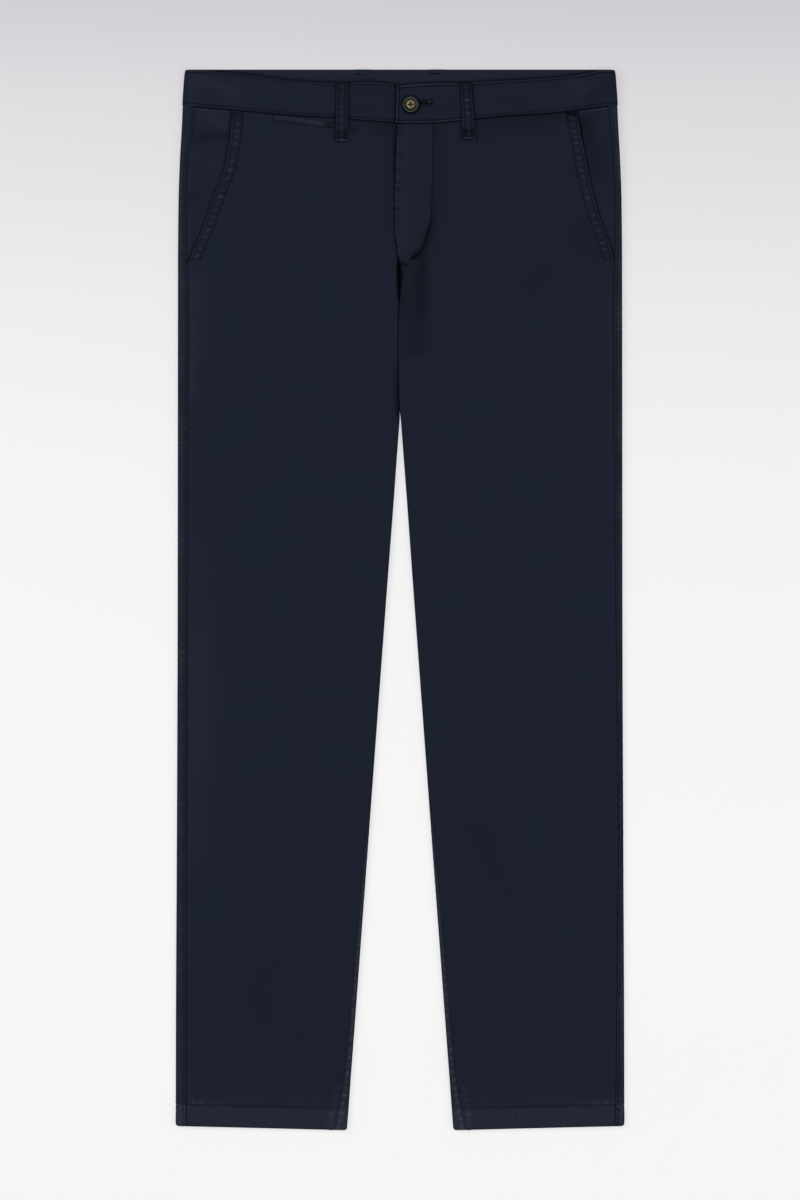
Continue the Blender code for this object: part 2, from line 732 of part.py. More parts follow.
# Button -------------------------------------------------------------------------------
def make_button():
    """A turned button with a rounded rim, a dished face and four holes."""
    rim = 1.0
    dish = 0.8
    profile = [(0, BUTTON_HEIGHT - dish), (4.6, BUTTON_HEIGHT - dish),
               (6.3, BUTTON_HEIGHT - dish * 0.55)]
    for step in range(7):
        turn = math.radians(120 - 35 * step)
        profile.append((BUTTON_RADIUS - rim + rim * math.cos(turn),
                        BUTTON_HEIGHT - rim + rim * math.sin(turn)))
    profile += [(BUTTON_RADIUS - 2.2, 0.0), (0, 0.0)]
    mesh = bmesh.new()
    points = [mesh.verts.new(Vector((out, 0, up)) * MM) for out, up in profile]
    for before, after in zip(points, points[1:]):
        mesh.edges.new((before, after))
    button = finish("waist_button", mesh, matter("waist_button_horn", HORN, 0.35))
    button.location = place(LEFT, *BUTTON_PLACE, band_up(LEFT, 0) + SEAM)
    turned = button.modifiers.new("turned", "SCREW")
    turned.axis = "Z"
    turned.steps = 24
    turned.render_steps = 24
    turned.use_merge_vertices = True
    turned.merge_threshold = 0.00001
    turned.use_smooth_shade = True
    mesh = bmesh.new()
    for quarter in range(4):
        turn = math.radians(90 * quarter + 6)
        hole = bmesh.ops.create_cone(mesh, cap_ends=True, segments=10, depth=0.008,
                                     radius1=HOLE_RADIUS * MM, radius2=HOLE_RADIUS * MM)
        spot = Vector((math.cos(turn), math.sin(turn), 0)) * HOLE_OFFSET * MM
        bmesh.ops.translate(mesh, verts=hole["verts"], vec=spot)
    data = bpy.data.meshes.new("button_hole_cutter")
    mesh.to_mesh(data)
    mesh.free()
    cutter = bpy.data.objects.new("button_hole_cutter", data)
    cutter.location = button.location
    hide_as_cutter(cutter)
    cut_with(button, cutter)


# The trousers -------------------------------------------------------------------------
for old in list(bpy.data.objects):
    bpy.data.objects.remove(old, do_unlink=True)
trousers = bpy.data.collections.new("chino_trousers")
cutters = bpy.data.collections.new("cutters")
bpy.context.scene.collection.children.link(trousers)
bpy.context.scene.collection.children.link(cutters)
base = bpy.data.objects.new("chino_trousers_base", None)
trousers.objects.link(base)

make_legs()
make_pocket_facings()
make_welt()
make_waistband()
make_front_loops()
make_back_loops()
make_button()
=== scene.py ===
"""Chino trousers lying flat with the front up: the finish of every piece.

Sizes are in millimetres, taken the way a cutter measures trousers:

    out     sideways from the centre line, towards the wearer's side that the piece is on
    down    from the top of the waistband towards the hem
    up      from the surface that the trousers lie on
    depth   into the cloth, from its outer face; below 0 it stands out

LEFT and RIGHT are the wearer's, and the wearer's left is +X.
"""
import math
from bisect import bisect_right
from functools import partial

import bmesh
import bpy
from mathutils import Matrix, Vector, noise


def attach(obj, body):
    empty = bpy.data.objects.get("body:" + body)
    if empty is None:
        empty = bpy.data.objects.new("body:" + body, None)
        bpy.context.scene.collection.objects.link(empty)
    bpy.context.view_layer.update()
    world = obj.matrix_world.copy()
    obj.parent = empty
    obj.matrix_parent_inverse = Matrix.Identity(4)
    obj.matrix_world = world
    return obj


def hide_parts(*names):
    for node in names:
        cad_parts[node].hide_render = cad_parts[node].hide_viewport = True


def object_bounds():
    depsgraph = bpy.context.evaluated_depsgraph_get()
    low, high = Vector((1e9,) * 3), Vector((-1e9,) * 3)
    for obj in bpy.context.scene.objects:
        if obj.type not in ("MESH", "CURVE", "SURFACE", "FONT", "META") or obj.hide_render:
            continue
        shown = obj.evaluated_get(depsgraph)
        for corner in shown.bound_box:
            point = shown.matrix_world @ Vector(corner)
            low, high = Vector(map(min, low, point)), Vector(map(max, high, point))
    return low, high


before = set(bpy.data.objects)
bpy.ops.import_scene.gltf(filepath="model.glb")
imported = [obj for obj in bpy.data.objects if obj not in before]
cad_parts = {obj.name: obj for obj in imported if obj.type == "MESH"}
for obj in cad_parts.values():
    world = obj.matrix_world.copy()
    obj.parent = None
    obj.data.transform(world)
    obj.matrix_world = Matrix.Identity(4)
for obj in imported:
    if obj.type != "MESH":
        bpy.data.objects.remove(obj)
cad_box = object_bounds()


# Backs of the legs ----------------------------------------------------------------------
# Each back is one length of stretch cotton twill from the waistband to the hem. It lies
# under its leg, wraps round both edges and is seamed to the front a little way in. The
# seams are sewn through all the layers, so the cloth beside them is drawn into puckers.
MM = 0.001
LEFT, RIGHT = 1, -1
LENGTH = round((cad_box[1][1] - cad_box[0][1]) / MM)
TWILL = 0.45              # thickness of the cloth
SEAM = 0.3                # gap between two pieces that are sewn together
JOIN = 0.06               # gap that shows between them along a leg
SEAM_DIP = 0.45           # how deep the cloth is drawn in at a seam
HEM_CORNER = 2.6          # radius of the hem's corners
HEM_DEPTH = 21.5          # depth of the turned-up hem
HEM_PROUD = 0.5           # how far the hem stands above the leg
HEM_WALL = 1.5            # three layers of the hem
HEM_SLANT = 4.2           # how much higher the hem's outer corner is than its inner one
HEM_ROWS_START = 900.0    # down: below this, rows lean towards the slanted hem
GAP_START = 342.1         # down: where the lines of the two inner leg edges meet
GAP_SLOPE = 0.074         # half of the gap between the legs, for each mm below that
BACK_ROLL = (222.0, 246.0)          # down: where the backs' inner edges roll over
FLY_END = 206.0           # down: lower end of the fly, under which the backs are seen
BACK_BAND_DEPTH = 36.0    # depth of the waistband at the back
BACK_LOOP_WIDTH = 13.0
BACK_LOOP_OUT = 37.0
BACK_LOOP_ENDS = (0.8, 57.0)
LOOP_LIFT = 1.3           # how far a back belt loop lifts the cloth over it
STRIP_FADE = {LEFT: 0.05, RIGHT: 0.04}          # how faded each back is beside the side seam
HEM_FADE = {LEFT: 0.12, RIGHT: 0.33}            # how much more faded it is at the hem
STRIP_PATCH = 38.0        # length of the more and less faded patches along a side seam
BACK_STITCH = 2.9         # from the side seam to the stitching beside it
WEDGE_END = (242, 228)    # down: where the shadow under the fly's end has gone, and starts to go
LINE = 0.8                # half width of the line of painted shade along a seam or its stitching
EDGE_LINE = 0.6           # half width of the line of painted shade round a folded edge
SEAM_COLUMNS = [0, 0.35, 0.8, 1.4]              # the columns of a panel closest to its seam
PUCKER_LEAN = 0.3         # how far a pucker leans along its seam, for each mm beside it
SIDE_PUCKERS = 7.5        # spacing of the puckers along a side seam
INSEAM_PUCKERS = 8.0      # spacing of the puckers along an inseam
INSEAM_DRAWN = (700, 800)           # down: where an inseam's puckers start
HEM_ROPES = 9.0           # spacing of the slanting ropes of cloth in a hem
HEM_PUCKERS = 4.6         # spacing of the short puckers over a hem's stitching


def table(columns, *rows):
    """A short table: one dictionary for each row, keyed by the names of the columns."""
    names = columns.split()
    return [dict(zip(names, row)) for row in rows]


OUTLINE = table(
    "down  half_width",
    (0, 213.8),
    (2.5, 215.0),
    (10, 215.7),
    (30, 216.8),
    (60, 218.2),
    (90, 219.9),
    (130, 221.3),
    (190, 221.9),
    (550, 222.3),
    (790, 223.2),
    (950, 224.0),
    (1060, 224.2))
STACK = table(
    "down  height",
    (36, 5.4),
    (100, 5.2),
    (190, 4.7),
    (340, 4.0),
    (600, 3.7),
    (1060, 3.6))
SIDE_SEAM = table(
    "down  right_inset  left_inset",
    (36, 11.5, 9.5),
    (60, 12.2, 7.4),
    (76, 9.8, 6.9),
    (92, 7.8, 6.7),
    (125, 7.3, 6.6),
    (190, 9.0, 7.6),
    (230, 10.3, 8.7),
    (630, 9.6, 5.8),
    (760, 9.9, 4.4),
    (830, 10.0, 6.1),
    (900, 10.2, 6.8),
    (1060, 10.5, 9.2))
INSEAM = table(
    "down  lap",
    (343, 0.0),
    (560, 0.3),
    (700, 2.0),
    (758, 4.0),
    (875, 5.6),
    (990, 7.0),
    (1060, 13.0))
PARTING = table(
    "down  across",
    (150, 0.0),
    (231, -1.1),
    (262, -1.9),
    (282, -1.95),
    (325, -1.2),
    (338, -0.7),
    (350, 0.2),
    (385, 0.2),
    (430, 0.3),
    (530, 0.1),
    (1060, 0.1))

# Soft creases pressed into the underside, where the cloth lifts off the surface.
BACK_CREASES = table(
    "out_from  down_from  out_to  down_to  width  rise",
    (20, 250, 120, 300, 9, 0.7),
    (12, 285, 95, 350, 7, 0.6),
    (40, 350, 150, 392, 10, 0.5),
    (95, 560, 185, 610, 12, 0.6),
    (70, 640, 170, 655, 9, 0.7),
    (80, 700, 190, 672, 11, 0.5),
    (110, 930, 190, 968, 10, 0.5),
    (150, 80, 60, 150, 12, 0.6))


def clamp(value, low=0.0, high=1.0):
    """The value, or the limit that it is past."""
    return min(max(value, low), high)


def curve(rows, column, key="down"):
    """A smooth function through one column of a table, which never overshoots its rows."""
    keys = [row[key] for row in rows]
    values = [row[column] for row in rows]
    steps = [after - before for before, after in zip(keys, keys[1:])]
    slopes = [(after - before) / step
              for before, after, step in zip(values, values[1:], steps)]
    tangents = [slopes[0]]
    for before, after in zip(slopes, slopes[1:]):
        turning = before * after <= 0
        tangents.append(0.0 if turning else 2 * before * after / (before + after))
    tangents.append(slopes[-1])

    def at(position):
        position = clamp(position, keys[0], keys[-1])
        index = min(bisect_right(keys, position) - 1, len(steps) - 1)
        step = steps[index]
        share = (position - keys[index]) / step
        rest = 1 - share
        return (values[index] * rest * rest * (1 + 2 * share)
                + values[index + 1] * share * share * (3 - 2 * share)
                + tangents[index] * step * share * rest * rest
                - tangents[index + 1] * step * share * share * rest)

    return at


def on_each_side(rows, column, key="down"):
    """Two curves, one for each side, from the columns right_... and left_... ."""
    return {LEFT: curve(rows, "left_" + column, key),
            RIGHT: curve(rows, "right_" + column, key)}


def ramp(spot, start, end):
    """0 before `start`, 1 past `end`, with a soft S between."""
    share = clamp((spot - start) / (end - start))
    return share * share * (3 - 2 * share)


def bell(distance, width):
    """1 at no distance, fading to 0 past the width."""
    return math.exp(-(distance / width) ** 2)


def between(start, end, count):
    """`count` evenly spaced numbers from start to end, both included."""
    return [start + (end - start) * index / (count - 1) for index in range(count)]


def spaced(start, end, step):
    """Evenly spaced numbers from start up to but without end, about `step` apart."""
    return between(start, end, round((end - start) / step) + 1)[:-1]


half_width = curve(OUTLINE, "half_width")
stack = curve(STACK, "height")
seam_inset = on_each_side(SIDE_SEAM, "inset")
inseam_lap = curve(INSEAM, "lap")
parting = curve(PARTING, "across")


def place(side, out, down, up):
    """World point, in metres, of a place measured in mm."""
    return Vector((side * out, LENGTH / 2 - down, up)) * MM


def inner_edge(side, down):
    """Inner edge of a leg, which is the centre line above the crotch."""
    return max((down - GAP_START) * GAP_SLOPE, 0.0) + side * parting(down)


def hem_line(side, out):
    """The hem's edge, which climbs a little towards the outer corner."""
    inner = inner_edge(side, LENGTH)
    share = (out - inner) / (half_width(LENGTH) - inner)
    return LENGTH - HEM_SLANT * clamp(share)


def row_down(side, out, row):
    """Where a row of a panel lies at `out`: the last rows follow the slanted hem."""
    return row + (hem_line(side, out) - LENGTH) * ramp(row, HEM_ROWS_START, LENGTH)


def in_hem(row):
    """1 in the hem, 0 above it."""
    return ramp(row, LENGTH - HEM_DEPTH - 1, LENGTH - HEM_DEPTH + 1)


def rounded_corner(row):
    """How far a leg's edges are drawn in at the rounded corners of its hem."""
    short = max(0.0, HEM_CORNER - (LENGTH - row))
    return HEM_CORNER - math.sqrt(max(HEM_CORNER ** 2 - short ** 2, 0.0))


def edge_height(row):
    """Height of the layers where a panel turns round an edge of the leg."""
    return stack(row) + HEM_PROUD * in_hem(row)


def folded(edge, inward, height, arc, depth, spread=0.0):
    """(out, up) on cloth round a folded edge, `arc` from its outermost line.

    The fold is a half circle as high as the layers, and `spread` makes it that much
    wider. Arcs above 0 run over the top of it and on inwards, those below 0 run under it.
    """
    radius = height / 2
    quarter = radius * math.pi / 2
    turn = clamp(arc / quarter, -1, 1) * math.pi / 2
    beyond = max(0.0, abs(arc) - quarter)
    reach = radius - depth
    inset = radius + spread - (reach + spread) * math.cos(turn) + beyond
    return edge + inward * inset, radius + reach * math.sin(turn)


def seam_dip(distance):
    """Depth of the cloth beside a seam."""
    return SEAM_DIP * (1 - ramp(distance, 0, 1.5))


def waver(along, across, key=0):
    """Smooth unevenness, from about -1 to 1."""
    return noise.noise(Vector((along, across, key)))


def puckers(along, spacing, key):
    """Uneven puckers, from 0 between them to about 1 on their crests."""
    shift = 0.7 * waver(along / (2.6 * spacing), key)
    size = 0.8 + 0.6 * waver(along / (1.7 * spacing), key, 5)
    return size * math.sin(math.pi * (along / spacing + shift)) ** 2


def crease_sum(creases, out, down, column="rise"):
    """What soft creases add: a bell across each line, fading past its ends."""
    total = 0.0
    for crease in creases:
        run_out = crease["out_to"] - crease["out_from"]
        run_down = crease["down_to"] - crease["down_from"]
        from_out = out - crease["out_from"]
        from_down = down - crease["down_from"]
        share = (from_out * run_out + from_down * run_down) / (run_out ** 2 + run_down ** 2)
        share = clamp(share)
        distance = math.hypot(from_out - run_out * share, from_down - run_down * share)
        if distance < 3 * crease["width"]:
            total += crease[column] * bell(distance, crease["width"])
    return total


def hem_stitch(out):
    """How far the hem's stitching runs above its edge, which wavers a little."""
    return HEM_DEPTH + 1.1 * waver(out / 14, 46)


def drawn_over_hem(out, row):
    """The short puckers that the hem's stitching draws into the cloth over it."""
    return puckers(out, HEM_PUCKERS, 44) * bell(LENGTH - row - HEM_DEPTH - 2.4, 1.7)


def hem_puckers(out, row):
    """The turned-up hem: a line of stitching, and slanting ropes of cloth under it."""
    above_edge = LENGTH - row
    if above_edge > 2 * HEM_DEPTH:
        return 0.0
    swell = bell(above_edge - HEM_DEPTH * 0.55, HEM_DEPTH * 0.36) * in_hem(row)
    ropes = puckers(out + above_edge * 0.45, HEM_ROPES, 40)
    sunk = bell(above_edge - hem_stitch(out), 0.9)
    return 0.3 * swell * ropes + 0.3 * drawn_over_hem(out, row) - 0.35 * sunk


def hem_rows():
    """Rows round the folded edge of the hem, as (row, depth), and a little way back up."""
    radius = HEM_WALL / 2
    rows = []
    for turn in between(0, math.pi, 8):
        rows.append((LENGTH - radius + radius * math.sin(turn), radius * (1 - math.cos(turn))))
    return rows + [(LENGTH - radius - 3, HEM_WALL)]


def lay_grid(sections, side=LEFT):
    """A bmesh grid whose points are laid along the sections of a piece of cloth.

    A section is a row of (place, across, along, shading). Across and along are measured in
    the cloth, in mm, and shading says how far the dye has faded there, partly as painted
    highlight, or below 0 how much painted shade darkens it.
    """
    mesh = bmesh.new()
    weave = mesh.loops.layers.uv.new("weave")
    shading_layer = mesh.verts.layers.float.new("wear")
    columns = len(sections[0]) - 1
    rows = len(sections) - 1
    bmesh.ops.create_grid(mesh, x_segments=columns, y_segments=rows, size=0.5)
    spots = {}
    for vert in mesh.verts:
        column = round((vert.co.x + 0.5) * columns)
        row = round((0.5 - vert.co.y) * rows)
        spots[vert] = sections[row][column]
    for vert, (point, _, _, wear) in spots.items():
        vert.co = point
        vert[shading_layer] = wear
    for face in mesh.faces:
        for loop in face.loops:
            _, across, along, _ = spots[loop.vert]
            loop[weave].uv = (side * across * MM, -along * MM)
    return mesh


def lay_cloth(name, sections, side):
    """A single layer of cloth along its sections, given the thickness of the twill."""
    mesh = lay_grid(sections, side)
    if side == RIGHT:
        bmesh.ops.reverse_faces(mesh, faces=mesh.faces)
    piece = finish(name, mesh, twill)
    layered = piece.modifiers.new("thickness", "SOLIDIFY")
    layered.thickness = TWILL * MM
    layered.offset = -1
    return piece


def add_object(name, data):
    """A new object at the origin of the scene."""
    made = bpy.data.objects.new(name, data)
    bpy.context.scene.collection.objects.link(made)
    return made


def add_mesh(name, mesh):
    """A new object made from a bmesh, which is then used up."""
    data = bpy.data.meshes.new(name)
    mesh.to_mesh(data)
    mesh.free()
    return add_object(name, data)


def finish(name, mesh, material):
    """The bmesh as a smooth shaded object that rides with the trousers."""
    piece = add_mesh(name, mesh)
    piece.data.shade_smooth()
    piece.data.materials.append(material)
    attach(piece, "root")
    return piece


def linear(code):
    """An sRGB hex colour as linear RGBA."""
    parts = [int(code[start:start + 2], 16) / 255 for start in (1, 3, 5)]
    parts = [part / 12.92 if part <= 0.04045 else ((part + 0.055) / 1.055) ** 2.4
             for part in parts]
    return (*parts, 1.0)


def add_node(tree, kind, inputs=None, stops=(), **settings):
    """A node with its settings; each input is given a value or linked from a socket.

    `stops` are the places and colours of a colour ramp, from 0 to 1.
    """
    made = tree.nodes.new(kind)
    for key, value in settings.items():
        setattr(made, key, value)
    for position, _ in stops[1:-1]:
        made.color_ramp.elements.new(position)
    for index, (_, code) in enumerate(stops):
        made.color_ramp.elements[index].color = linear(code)
    for key, value in (inputs or {}).items():
        if isinstance(value, bpy.types.NodeSocket):
            tree.links.new(value, made.inputs[key])
        else:
            made.inputs[key].default_value = value
    return made


def new_material(name, **inputs):
    """A material with a Principled shader, and the values of some of its sockets."""
    material = bpy.data.materials.new(name)
    material.use_nodes = True
    shader = material.node_tree.nodes["Principled BSDF"]
    for key, value in inputs.items():
        shader.inputs[key.replace("_", " ")].default_value = value
    return material, material.node_tree, shader


# Garment-dyed cotton twill: matt, with a fine diagonal wale, slightly mottled by the dye
# bath, and faded to a warmer navy where the cloth stands up at seams and folds, partly as
# painted highlight. Painted shade darkens it to near black in the creases, along the rows of
# stitches, round folded edges and wherever one piece shades another.
NAVY = "#1a1f2c"
DEEP_NAVY = "#171c27"
# faded navy, also used as painted highlight on ridges and crests
FADED_AND_HIGHLIGHT_NAVY = "#3b3b47"
# near black, used as painted shade
PAINTED_SHADE_NAVY = "#05070c"
WALE_SPACING = 1.1        # twice the real twill's, so that the diagonal can be seen
WALE_ANGLE = 63.0
WALE_RELIEF = 0.05
DYE_PATCH = 55.0          # size of the soft patches that the dye bath leaves
SLUB = 2.4                # size of the uneven spots in the yarn
PULL = (4.5, 1.9)         # size of the pulls that stitching leaves, across the seam and along
PULL_SHADES = (0.6, 1.5)  # how much less and more faded the cloth is in and between them
RUMPLE = 9.0              # size of the smallest rumples in the cloth
RUMPLE_RELIEF = 0.10
RIB_SHADES = (0.86, 1.12)           # how dark the wale's furrows are painted in shade, and how light its ribs
ROUGHNESS = (0.72, 0.9)   # of the smoothest and the roughest yarn


def make_twill():
    material, tree, shader = new_material(
        "garment_dyed_cotton_twill", Specular_IOR_Level=0.02, Sheen_Weight=0.01,
        Sheen_Roughness=0.5, Sheen_Tint=linear("#8088a0"))
    weave = add_node(tree, "ShaderNodeUVMap", uv_map="weave").outputs["UV"]
    wear = add_node(tree, "ShaderNodeAttribute", attribute_name="wear").outputs["Fac"]
    dye = add_node(tree, "ShaderNodeTexNoise",
                   {"Vector": weave, "Scale": 1 / (DYE_PATCH * MM), "Detail": 3.0})
    slub = add_node(tree, "ShaderNodeTexNoise",
                    {"Vector": weave, "Scale": 1 / (SLUB * MM), "Detail": 2.0})
    slanted = add_node(tree, "ShaderNodeMapping",
                       {"Vector": weave, "Rotation": (0, 0, math.radians(WALE_ANGLE))})
    # A wave of scale 1 repeats every pi / 10.
    wale = add_node(tree, "ShaderNodeTexWave",
                    {"Vector": slanted.outputs["Vector"], "Distortion": 1.2,
                     "Scale": math.pi / 10 / (WALE_SPACING * MM), "Detail": 1.0,
                     "Detail Scale": 0.6})
    rumple = add_node(tree, "ShaderNodeTexNoise",
                      {"Vector": weave, "Scale": 1 / (RUMPLE * MM), "Detail": 4.0,
                       "Roughness": 0.55})
    patched = add_node(tree, "ShaderNodeMix",
                       {"Factor": dye.outputs["Fac"], "A": linear(NAVY),
                        "B": linear(DEEP_NAVY)}, data_type="RGBA")
    drawn = add_node(tree, "ShaderNodeMapping",
                     {"Vector": weave, "Scale": (1 / (PULL[0] * MM), 1 / (PULL[1] * MM), 1)})
    pulls = add_node(tree, "ShaderNodeTexNoise",
                     {"Vector": drawn.outputs["Vector"], "Scale": 1.0, "Detail": 1.5})
    pulled = add_node(tree, "ShaderNodeMapRange",
                      {"Value": pulls.outputs["Fac"], "From Min": 0.35, "From Max": 0.65,
                       "To Min": PULL_SHADES[0], "To Max": PULL_SHADES[1]})
    # Above 0 the attribute fades the cloth, partly as painted highlight.
    fade_and_highlight = add_node(tree, "ShaderNodeMath", {0: wear, 1: pulled.outputs[0]},
                    operation="MULTIPLY", use_clamp=True)
    worn_and_shaded = add_node(tree, "ShaderNodeMix",
                    {"Factor": fade_and_highlight.outputs[0], "A": patched.outputs["Result"],
                     "B": linear(FADED_AND_HIGHLIGHT_NAVY)}, data_type="RGBA")
    # Below 0 it darkens the cloth towards near black as painted shade.
    sunk = add_node(tree, "ShaderNodeMath", {0: wear, 1: -1.0},
                    operation="MULTIPLY", use_clamp=True)
    worn_and_shaded = add_node(tree, "ShaderNodeMix",
                    {"Factor": sunk.outputs[0], "A": worn_and_shaded.outputs["Result"],
                     "B": linear(PAINTED_SHADE_NAVY)}, data_type="RGBA")
    ribbed = add_node(tree, "ShaderNodeMapRange",
                      {"Value": wale.outputs["Fac"], "To Min": RIB_SHADES[0],
                       "To Max": RIB_SHADES[1]})
    ribs = add_node(tree, "ShaderNodeMix",
                    {"Factor": 1.0, "A": worn_and_shaded.outputs["Result"], "B": ribbed.outputs[0]},
                    data_type="RGBA", blend_type="MULTIPLY")
    tree.links.new(ribs.outputs["Result"], shader.inputs["Base Color"])
    rough = add_node(tree, "ShaderNodeMapRange",
                     {"Value": slub.outputs["Fac"], "To Min": ROUGHNESS[0],
                      "To Max": ROUGHNESS[1]})
    tree.links.new(rough.outputs[0], shader.inputs["Roughness"])
    soft = add_node(tree, "ShaderNodeBump",
                    {"Height": rumple.outputs["Fac"], "Distance": RUMPLE_RELIEF * MM})
    fine = add_node(tree, "ShaderNodeBump",
                    {"Height": wale.outputs["Fac"], "Distance": WALE_RELIEF * MM,
                     "Normal": soft.outputs["Normal"]})
    tree.links.new(fine.outputs["Normal"], shader.inputs["Normal"])
    return material


twill = make_twill()


def over_loop(out, down):
    """1 where a back belt loop lies under the cloth, 0 beside it."""
    beside = abs(out - BACK_LOOP_OUT) - BACK_LOOP_WIDTH / 2
    return ramp(beside, 3.3, 0.3) * ramp(down, BACK_LOOP_ENDS[1] + 5.5, BACK_LOOP_ENDS[1] + 0.5)


def back_section(side, row, turned):
    """One line across a back, from the side seam round the underside to the inseam."""
    edge = half_width(row) - rounded_corner(row)
    height = edge_height(row)
    radius = height / 2
    quarter = radius * math.pi / 2
    seam = quarter + seam_inset[side](row) - radius - rounded_corner(row)
    section = []

    def lay(out, up, across, wear):
        point = place(side, out, row_down(side, out, row), max(up, 0.0))
        section.append((point, across, row, wear))

    # The strip beside the side seam, and round the edge to the underside.
    strip = SEAM_COLUMNS + between(SEAM_COLUMNS[-1], seam - quarter, 7)[1:]
    strip += between(seam - quarter, seam + quarter, 9)[1:]
    patch = 0.5 + 0.9 * waver(row / STRIP_PATCH, 11 * side, 1)
    for across in strip:
        drawn = puckers(row - across * PUCKER_LEAN, SIDE_PUCKERS, 10 + side)
        crest = drawn * bell(across - 3.5, 3.2)
        depth = turned + seam_dip(across) - 0.32 * crest - hem_puckers(across, row)
        out, up = folded(edge, -1, height, seam - across, depth)
        # Faded, and partly painted highlight, on the puckers' crests; painted shade in a dark line
        # round the folded edge and along the seam and its stitching.
        wear = STRIP_FADE[side] * patch + 0.25 * crest * (0.5 + patch)
        wear += 0.2 * bell(edge - out - 2, 2) * patch - 0.6 * bell(out - edge, EDGE_LINE)
        wear += HEM_FADE[side] * in_hem(row) - 0.3 * bell(across, LINE)
        lay(out, up, across, wear - 0.35 * bell(across - BACK_STITCH, LINE))

    # The underside.
    inner = inner_edge(side, row) + rounded_corner(row)
    # Painted shadow where the underside is seen under the end of the fly.
    wedge_shadow = ramp(row, FLY_END - 26, FLY_END - 16) * ramp(row, *WEDGE_END)
    for out in between(edge - radius, inner + radius, 20)[1:-1]:
        held = ramp(min(edge - out, out - inner), 6, 22) * ramp(row, 60, 90)
        lift = held * (1 - in_hem(row)) * crease_sum(BACK_CREASES, out, row)
        lift += LOOP_LIFT * over_loop(out, row)
        lay(out, lift + turned, seam + edge - out, 0.05 - wedge_shadow * bell(out - inner, 7))

    # Round the inner edge to the inseam, or flat to the crotch seam above it.
    rolled = ramp(row, *BACK_ROLL)
    end = inseam_lap(row) - JOIN / 2
    arcs = between(-quarter, end - SEAM_COLUMNS[-1], 9)
    arcs += [end - step for step in SEAM_COLUMNS[-2::-1]]
    seamed = ramp(end, 0.5, 3)
    for arc, flat_out in zip(arcs, between(inner + radius, inner, 12)):
        drawn = puckers(row + arc * PUCKER_LEAN, INSEAM_PUCKERS, 14 + side)
        crest = drawn * ramp(row, *INSEAM_DRAWN) * bell(end - arc - 3.0, 2.6)
        depth = turned + seam_dip(end - arc) * seamed - 0.3 * crest
        fold_out, fold_up = folded(inner, 1, height, arc, depth)
        out = flat_out + (fold_out - flat_out) * rolled
        up = turned + (fold_up - turned) * rolled
        # Painted shadow under the fly's end, and painted shade along the inseam and round the
        # inner edge.
        wear = (0.1 + 0.5 * crest) * ramp(row, 600, 800) + 0.2 * in_hem(row) - wedge_shadow
        wear -= 0.22 * bell(end - arc, LINE) * seamed + 0.6 * bell(out - inner, EDGE_LINE)
        lay(out, up, seam + edge + arc, wear)
    return section


def panel_rows(start):
    """Rows of a leg's panel, as (row, depth): closest at the hip, where there is most detail."""
    hem_start = LENGTH - HEM_DEPTH - 3
    rows = spaced(start, 240, 1.6) + spaced(240, hem_start, 2.2)
    rows += spaced(hem_start, LENGTH - HEM_WALL / 2, 1.3)
    return [(row, 0.0) for row in rows] + hem_rows()


for side, name in ((LEFT, "left_back"), (RIGHT, "right_back")):
    sections = [back_section(side, row, depth) for row, depth in panel_rows(BACK_BAND_DEPTH)]
    back = lay_cloth(name + "_twill", sections, side)
    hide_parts(name + "_leg")


# Fronts of the legs ---------------------------------------------------------------------
# Each front is cut like the back, with the slanted pocket mouth taken out of its hip. The
# mouth and the fly edge are folded under and topstitched, and the left front laps over
# the right one, held down by a J of stitching.
SAG = 0.4                 # how far a leg's front sinks between its two edges
WAIST_ROWS_END = 160.0    # down: above this, rows follow the curve of the waist seam
FLY_RAISE = 0.4           # how far the fly facing lifts the front over it
FLY_STEP = 1.4            # how far the right front dips to pass under the left one
FLY_UNDERLAP = -10.0      # where the right front ends, under the left one
FRONT_ROLL = (186.0, 198.0)         # down: where the fronts' inner edges roll over
POCKET_RAISE = 0.3        # how far the stitched pocket edge stands above the front
POCKET_BAND = 10.0        # width of the stitched pocket edge
POCKET_BOTTOM = 188.0     # down: lower end of the pocket mouth
FOLD_RADIUS = 0.5         # radius of an edge that is folded under
EDGE_STITCH = 1.9         # from a folded edge to the first line of stitching
POCKET_STITCH = 10.6      # from the pocket mouth to the second line
POCKET_ROPES = 6.6        # spacing of the ropes of cloth between those two lines
ROPE_MIDDLE = 6.2         # from the pocket mouth to the middle of the ropes
FLY_TACKED = (193, 188)   # down: where the J of stitching ends
TUCK_SHADE = 2.2          # how much painted shade darkens a tuck, for each mm that it is deep
INSEAM_HEM_PUCKERS = 6.5  # spacing of the puckers beside the inseam in the hem
FLY_COLUMNS = (-0.8, -0.35, 0, 0.35, 0.8, 1.6, 3, 5, 7.5, 10.5, 14, 18)     # out from the J
EDGE_COLUMNS = (12.4, 11.6, 11.0, 10.6, 10.2, 9.6, 8.8, 7.8, 6.8, 5.8, 4.8, 3.8, 2.9, 2.3,
                1.9, 1.5, 0.9, FOLD_RADIUS)         # in from a front's outer edge

